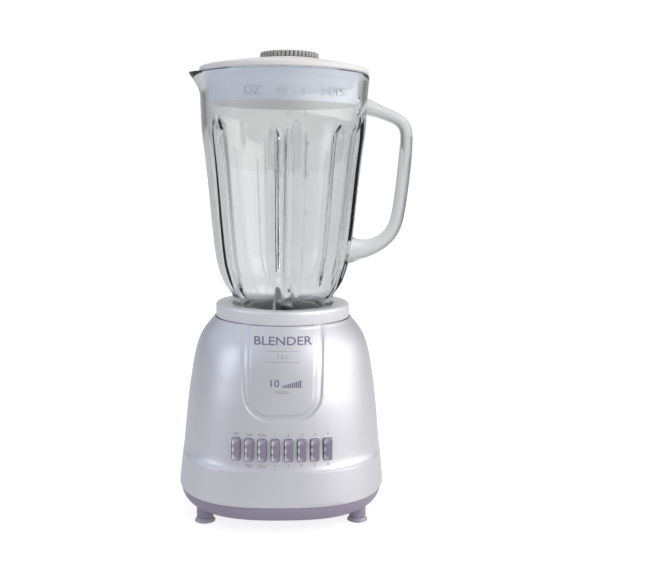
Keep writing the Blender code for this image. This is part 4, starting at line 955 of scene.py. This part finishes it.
# the handle's middle line in the jar's plane: (radius, height, half thickness, half width)
HANDLE = ((62.5, 330.0, 8.0, 7.4), (67.5, 329.0, 7.2, 6.8), (73.0, 327.6, 6.2, 6.2),
          (80.0, 325.4, 5.4, 5.9), (88.0, 322.6, 5.0, 5.8), (95.5, 319.2, 4.9, 5.8),
          (100.0, 314.6, 5.0, 5.8), (101.9, 308.0, 5.1, 5.8), (102.0, 298.0, 5.1, 5.8),
          (101.3, 286.0, 5.3, 5.9), (100.2, 273.0, 5.4, 5.9), (98.7, 259.0, 5.4, 5.9),
          (97.0, 246.0, 5.4, 5.9), (94.6, 235.0, 5.5, 5.9), (90.4, 226.6, 5.7, 6.0),
          (83.6, 219.8, 6.0, 6.1), (76.0, 215.8, 6.6, 6.3), (68.5, 213.6, 7.8, 6.6),
          (62.0, 212.8, 9.2, 7.2), (56.5, 212.8, 11.0, 7.8), (51.0, 213.2, 12.6, 8.6))


def make_handle():
    lengths = [0.0]
    for a, b in zip(HANDLE, HANDLE[1:]):
        lengths.append(lengths[-1] + hypot(b[0] - a[0], b[1] - a[1]))
    curves = [[(s, point[k]) for s, point in zip(lengths, HANDLE)] for k in range(4)]
    rows = 96
    sides = 32

    def station(row):
        s = lengths[-1] * row / (rows - 1)
        return [smooth_curve(curve, s) for curve in curves]

    def shape(share, row):
        x, z, thick, wide = station(row)
        x0, z0 = station(max(row - 1, 0))[:2]
        x1, z1 = station(min(row + 1, rows - 1))[:2]
        long = hypot(x1 - x0, z1 - z0)
        nx, nz = -(z1 - z0) / long, (x1 - x0) / long
        a = 2 * pi * share
        c, s = cos(a), sin(a)
        u = thick * copysign(abs(c) ** 0.92, c)
        v = wide * copysign(abs(s) ** 0.92, s)
        return x + nx * u, v, z + nz * u

    return close_up(pressed("handle", sides, rows, shape))


def make_jar_marks():
    """Raised scale on the glass: ounces to the left of the front rib and cups to the right."""
    marks = (("upper", "OZ    48 – 6    CUPS", 0.0, 335.8, 6.8), ("40", "40 – 5", 0.0, 319.8, 4.8),
             ("32", "32", -9.5, 297.2, 4.8), ("4", "4", 8.8, 297.2, 4.8), ("24", "24", -9.5, 275.0, 4.8),
             ("3", "3", 8.8, 275.0, 4.8), ("16", "16", -9.3, 246.0, 4.8), ("2", "2", 8.6, 246.0, 4.8))
    for name, text, across, z, size in marks:
        letters = lettering("scale_" + name, text, size, 0.55, 0.012)

        def wrap(x, out, up):
            height = z + up
            angle = (x + across) / jar_radius(height)
            r = jar_radius(height) - flute(degrees(angle), height) - 0.12 + out
            return r * sin(angle), -r * cos(angle), height

        wrap_flat(letters, wrap)
        stand(letters, RELIEF_GLASS, "jar", JAR_TURN)


def lettering(name, text, size, thick, fatten=0.0):
    """Solid letters in the XY plane, centred, standing this thick in Z."""
    clear_selection()
    bpy.ops.object.text_add()
    obj = bpy.context.object
    obj.data.body = text
    obj.data.size = size * MM / 0.73
    obj.data.align_x = 'CENTER'
    obj.data.align_y = 'CENTER'
    obj.data.extrude = thick / 2 * MM
    obj.data.offset = fatten * size * MM
    obj.data.resolution_u = 4
    bpy.ops.object.convert(target='MESH')
    obj = bpy.context.object
    obj.name = name
    return weld(obj, 0.001)


def wrap_flat(obj, wrap):
    """Lay a flat piece on a surface: wrap(across, out, up) in millimetres."""
    low = min(v.co.z for v in obj.data.vertices)
    for vertex in obj.data.vertices:
        x, y, z = vertex.co / MM
        vertex.co = Vector(wrap(x, z - low / MM, y)) * MM
    tidy(obj)


def make_collar():
    """Ribbed white ring that is screwed to the glass under the seat's rim."""
    low, high = COLLAR_LOW[2], COLLAR_HIGH[2]
    outer = COLLAR_RADIUS
    bore = NECK + 0.8
    outline = [(28.0, low), (outer - 0.8, low), (outer, low + 0.8), (outer, high - 1.2),
               (outer - 0.4, high - 0.3), (outer - 1.2, high), (bore + 0.6, high), (bore, high - 0.6),
               (bore, low + 2.2), (28.0, low + 2.2)]
    collar = turned("threaded_collar", outline, 120)
    grips = []
    for k in range(24):
        grip = block("grip", (outer - 0.7, -1.6, low + 1.0), (outer + 2, 1.6, high - 3.5))
        grip.data.transform(Matrix.Rotation(2 * pi * (k + 0.5) / 24, 4, 'Z'))
        grips.append(grip)
    combine(collar, join("grips", grips), 'DIFFERENCE')
    tidy(collar, 40)
    stand(collar, COLLAR_WHITE, "jar", JAR_TURN)
    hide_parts("jar_collar")


def make_blade_base():
    """Spun steel plate in the jar's floor, with a raised hub."""
    low, top = (corner[2] for corner in node_box("blade_base"))
    edge = half_width("blade_base")
    inside = NECK - GLASS_WALL - 1.5
    outline = [(6.3, low), (edge, low), (edge, low + 1.5), (inside, low + 1.5), (inside - 0.3, low + 4.0),
               (inside - 1.6, low + 5.4), (22.0, low + 5.9), (16.5, low + 6.2), (13.4, low + 7.0),
               (10.6, low + 9.2), (9.3, low + 11.8), (9.1, top - 0.6), (8.6, top), (6.3, top)]
    plate = turned("blade_base_plate", outline, 128)
    stand(plate, DISC_STEEL, "jar", JAR_TURN)
    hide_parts("blade_base")


def make_blade(name, node, lift, turn):
    """Ground steel blade: a hub plate drawn out into two bent, bevelled wings."""
    low, high = node_box(node)
    thick, twist = 1.4, 1.2
    hub, reach = 9.3, 26.0
    z = low[2] if lift > 0 else high[2] - thick
    rows = spaced([(-reach, 0), (-hub, 0.9), (hub, 1.6), (reach, 0.9)])
    section = ((1.0, 0.0), (0.94, 0.55), (0.62, 1.0), (-0.62, 1.0), (-0.94, 0.55), (-1.0, 0.0),
               (-0.60, 0.0), (0.0, 0.0), (0.60, 0.0))

    def shape(share, row):
        x = rows[row]
        out = max(abs(x) - hub, 0.0) / (reach - hub)
        half = mix(7.4, 2.2, out ** 0.9) if out > 0 else mix(7.5, 7.4, abs(x) / hub)
        across, up = section[round(share * len(section))]
        if out >= 1.0:
            half *= 0.75
        sweep = twist * out * copysign(1.0, x)
        return x, across * half + sweep, z + lift * out ** 1.15 + up * thick

    blade = close_up(pressed(name, len(section), len(rows), shape))
    combine(blade, upright("bore", 4.3, z - 2, z + 4), 'DIFFERENCE')
    tidy(blade, 20)
    stand(blade, STEEL, "blades", JAR_TURN + turn)
    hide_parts(node)


def make_blade_nut():
    """Domed hexagon nut over the blades."""
    bottom, top = (corner[2] for corner in node_box("blade_nut"))
    nut = upright("blade_top_nut", 7.1, bottom, top, sides=6)
    outline = [(0.5, top + 1.2), (6.0, top + 1.2), (6.35, top + 0.1), (8.6, top - 1.2),
               (8.6, bottom - 1), (0.5, bottom - 1)]
    combine(nut, turned("chamfer", outline, 64, closed=False), 'INTERSECT')
    combine(nut, upright("bore", 4.25, bottom - 1, top + 1), 'DIFFERENCE')
    tidy(nut, 25)
    stand(nut, STEEL, "blades", JAR_TURN)
    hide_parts("blade_nut")


# ---------------- lid and cap

CAP_OFFSET = 4.0               # the cap sits this far from the jar's axis, towards the handle
SKIRT_RADIUS = jar_radius(LID_LOW[2]) - GLASS_WALL - 3.2
LID_WHITE = lid_plastic()


def make_lid():
    """Soft lid: flange on the rim, shallow cone, skirt and the cap's well."""
    low = JAR_RIM + GAP
    top = LID_HIGH[2]
    radius = half_width("lid")
    edge = low + 4.2
    end = LID_LOW[2]
    skirt = SKIRT_RADIUS
    hole = 20.3
    outline = [(skirt, low), (radius - 0.6, low), (radius, low + 0.6), (radius, edge - 1.6),
               (radius - 0.4, edge - 0.6), (radius - 1.4, edge + 0.05),
               (60.0, edge + 1.35), (48.0, edge + 3.5), (36.0, edge + 5.6), (27.0, edge + 7.0),
               (24.8, top), (23.0, top), (hole + 0.3, top), (hole, top - 0.4), (hole, top - 12),
               (hole + 2.4, top - 12), (hole + 2.4, top - 3.4), (skirt - 3.2, edge - 1.9),
               (skirt - 2.6, edge - 4), (skirt - 2.2, end + 0.5), (skirt - 1.8, end),
               (skirt - 0.6, end), (skirt, end + 0.6)]
    lid = turned("soft_lid", outline, 192)
    for vertex in lid.data.vertices:
        reach = hypot(vertex.co.x, vertex.co.y) / MM
        vertex.co.x += CAP_OFFSET * MM * within((skirt - 3 - reach) / (skirt - 27.3))
    tidy(lid, 30)
    stand(lid, LID_WHITE, "lid", JAR_TURN)
    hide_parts("lid")


def make_cap():
    """Clear cap: a disc with a knurled side over a measuring cup."""
    low = CAP_LOW[2]
    top = CAP_HIGH[2]
    under = LID_HIGH[2] + GAP
    radius = CAP_RADIUS
    ribs = 44
    # radius, height, share of the knurling's depth
    rows = [(1.0, under + 1.5, 0), (17.2, under + 1.1, 0), (17.8, under + 0.4, 0), (17.9, low + 0.6, 0),
            (18.3, low, 0), (19.2, low, 0), (19.5, low + 0.5, 0), (19.8, under - 0.6, 0), (19.9, under, 0),
            (radius - 0.6, under, 0.2), (radius - 0.1, under + 0.35, 1), (radius, under + 0.7, 1),
            (radius, top - 1.1, 1), (radius - 0.15, top - 0.5, 0.8), (radius - 0.7, top - 0.1, 0.2),
            (radius - 1.3, top, 0), (20.8, top, 0), (20.2, top - 0.4, 0), (19.8, top - 1.4, 0),
            (19.0, top - 1.8, 0), (10.0, top - 1.7, 0), (1.0, top - 1.6, 0)]

    def shape(share, row):
        r, z, knurl = rows[row]
        a = 2 * pi * share
        r -= 1.0 * knurl * (1 - abs(sin(a * ribs / 2)) ** 0.5)
        return r * cos(a), r * sin(a), z

    cap = close_up(pressed("knurled_cap", ribs * 8, len(rows), shape))
    cap.data.transform(Matrix.Translation((CAP_OFFSET * MM, 0, 0)))
    stand(cap, CAP_CLEAR, "cap", JAR_TURN)
    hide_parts("filler_cap")


# ---------------- print on the base

def print_on_front(obj, x, z, finish):
    """Lay flat letters or bars on the housing's front, from x and z."""
    def wrap(across, out, up):
        px, pz = x + across, z + up
        return px, -front_surface(px, pz) - 0.03 - out, pz

    wrap_flat(obj, wrap)
    stand(obj, finish, "base")


def print_word(name, text, x, z, size, finish, widen, fatten):
    letters = lettering(name, text, size, 0.07, fatten)
    letters.data.transform(Matrix.Diagonal((1 + widen, 1, 1, 1)))
    print_on_front(letters, x, z, finish)


def make_print():
    print_word("print_word", "BLENDER", 0.0, 149.2, 6.0, DARK_INK, 0.3, 0.012)
    print_word("print_litres", "1.5 L", 0.0, 138.2, 2.9, PALE_INK, 0.15, 0.006)
    print_word("print_ten", "10", -6.4, 118.6, 5.6, DARK_INK, 0.1, 0.012)
    print_word("print_speeds", "SPEEDS", -0.5, 112.2, 2.3, PALE_INK, 0.1, 0.006)
    bars = [block("bar", (1.5 * k, 0, 0), (1.5 * k + 1, 1.4 + 0.45 * k, 0.07)) for k in range(10)]
    print_on_front(join("print_speed_bars", bars), -0.2, 115.8, DARK_INK)
    for name, z in (("print_upper_rule", 142.4), ("print_lower_rule", 134.4)):
        rule = pressed(name, 4, 60, lambda share, row: rule_spot(share, row, z))
        stand(close_up(rule), PALE_INK, "base")
    above = ("Off", "Low", "Pulse", "1", "2", "3", "4", "5")
    below = ("", "High", "Pulse", "6", "7", "8", "9", "10")
    for (x, low, high), upper, lower, name in zip(KEY_SPOTS, above, below, KEYS):
        print_word("label_over_" + name, upper, x, high + 3.0, 2.1, LABEL_INK, 0.0, 0.012)
        if lower:
            print_word("label_under_" + name, lower, x, low - 3.8, 2.1, LABEL_INK, 0.0, 0.012)


def rule_spot(share, row, height):
    """Corner of a thin printed rule on the panel."""
    x = mix(-13.0, 13.0, row / 59)
    corner = round(share * 4)
    z = height + (0.16 if corner in (0, 1) else -0.16)
    out = 0.03 if corner in (0, 3) else 0.1
    return x, -front_surface(x, z) - out, z


# ---------------- carried-over pieces

def finish_frame_pieces():
    """Give every CAD piece that stays its finish."""
    groups = {
        STEEL: each("motor_bolt", SIDES) + each("mount_screw", ENDS) + each("brush_spring", ENDS)
        + BASE_SCREWS + ["motor_shaft", "drive_coupling", "blade_shaft", "blade_washer", "driven_coupling"],
        ALUMINIUM: ["upper_bracket", "lower_bracket"],
        BRASS: ["upper_bearing", "lower_bearing", "blade_bushing"] + each("brush_holder", ENDS),
        SHEETS: ["stator_core", "armature_core"],
        WIRE: each("field_coil", SIDES) + ["winding_upper", "winding_lower", "commutator"],
        CARBON: each("brush", ENDS),
        BLACK_PLASTIC: ["switch_body", "motor_fan"],
        BLACK_RUBBER: ["slinger", "jar_gasket"],
    }
    for finish, names in groups.items():
        for name in names:
            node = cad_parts[name]
            node.data.materials.clear()
            node.data.materials.append(finish)


# ---------------- camera, light and floor

# direction of the light, how tight it is, its colour
SOFT_LIGHTS = (((0.95, -0.42, 0.12), 3.0, (2.9, 2.88, 2.85)),
               ((-0.72, -0.60, 0.62), 6.0, (0.66, 0.71, 0.84)),
               ((-0.94, -0.28, 0.25), 60.0, (2.6, 2.7, 3.0)),
               ((0.0, 1.0, 0.06), 12.0, (0.48, 0.48, 0.475)),
               ((-0.80, 0.32, 0.55), 8.0, (0.55, 0.60, 0.74)),
               ((0.1, 0.30, 1.0), 6.0, (1.15, 1.15, 1.15)))
STUDIO_GREY = (0.15, 0.15, 0.16)
# all of these in metres
CAMERA_PLACE = (AXIS_X * MM, -0.720, 0.283)
LAMP_PLACE = (1.0 + AXIS_X * MM, -0.8, 1.1)
LAMP_AIM = (0, 0, 0.15)
FLOOR_SIZE = 60
LAMP_SIZE = 0.8


def set_camera():
    """Camera in front of the object, a little above it and looking slightly down."""
    data = bpy.data.cameras.new("camera")
    data.lens = 49.1
    data.sensor_width = 36.0
    camera = bpy.data.objects.new("camera", data)
    bpy.context.scene.collection.objects.link(camera)
    pan, tilt, roll = radians(-2.60), radians(90 - 8.15), radians(0.72)
    aim = Matrix.Rotation(pan, 4, 'Z') @ Matrix.Rotation(tilt, 4, 'X') @ Matrix.Rotation(roll, 4, 'Z')
    camera.matrix_world = Matrix.Translation(CAMERA_PLACE) @ aim
    bpy.context.scene.camera = camera


def set_floor():
    """White paper: plain to the camera, and to the object brighter close by and behind."""
    sheet = add("floor", bpy.ops.mesh.primitive_plane_add, size=FLOOR_SIZE)
    paper = Finish("white_floor", Roughness=0.9, Specular_IOR_Level=0.05, Emission_Strength=1.0)
    paper.wear("Base Color", paper.blend(paper.noise(400, 2.0), (0.40, 0.40, 0.40), (0.42, 0.42, 0.42)))
    far = paper.reach(0, 0)
    behind = (paper.along('Y') / (far + 0.02)).clamped()
    light = 0.09 + 0.23 / (1 + far * far / 0.36) + 0.18 * behind ** 12
    seen = paper.node('ShaderNodeLightPath', output='Is Camera Ray')
    paper.wear("Emission Color", seen * 0.80 + (1 - seen) * light)
    sheet.data.materials.append(paper.material)


def set_studio():
    """Soft lights round the object as broad bright patches in a grey room, and one lamp."""
    world = bpy.data.worlds.new("studio")
    bpy.context.scene.world = world
    world.use_nodes = True
    room = Shading(world.node_tree)
    direction = room.node('ShaderNodeTexCoord', output='Generated')
    total = STUDIO_GREY
    for aim, tight, colour in SOFT_LIGHTS:
        facing = room.node('ShaderNodeVectorMath', {"operation": 'DOT_PRODUCT'}, direction,
                           Vector(aim).normalized(), output='Value').maths('MAXIMUM', 0.0)
        lit = room.node('ShaderNodeVectorMath', {"operation": 'SCALE'}, colour, Scale=facing ** tight)
        total = room.node('ShaderNodeVectorMath', {"operation": 'ADD'}, lit, total)
    seen = room.node('ShaderNodeLightPath', output='Is Camera Ray')
    room.put(world.node_tree.nodes["Background"].inputs["Color"], room.blend(seen, total, (1, 1, 1)))

    light = bpy.data.lights.new("soft_lamp", 'AREA')
    light.size = LAMP_SIZE
    light.energy = 2.5
    lamp = bpy.data.objects.new("soft_lamp", light)
    bpy.context.scene.collection.objects.link(lamp)
    lamp.location = LAMP_PLACE
    away = lamp.location - Vector(LAMP_AIM)
    lamp.rotation_euler = away.to_track_quat('Z', 'Y').to_euler()
    bpy.context.scene.view_settings.view_transform = 'Standard'


set_camera()
set_floor()
set_studio()
finish_frame_pieces()
make_housing()
make_key_frames()
make_keys()
make_seat()
make_base_plate()
make_feet()
make_inlet()
make_glass()
make_jar_marks()
make_collar()
make_blade_base()
make_blade("blade_with_raised_wings", "blade_upper", 13.5, pi / 2)
make_blade("blade_with_lowered_wings", "blade_lower", -3.0, 0.0)
make_blade_nut()
make_lid()
make_cap()
make_print()
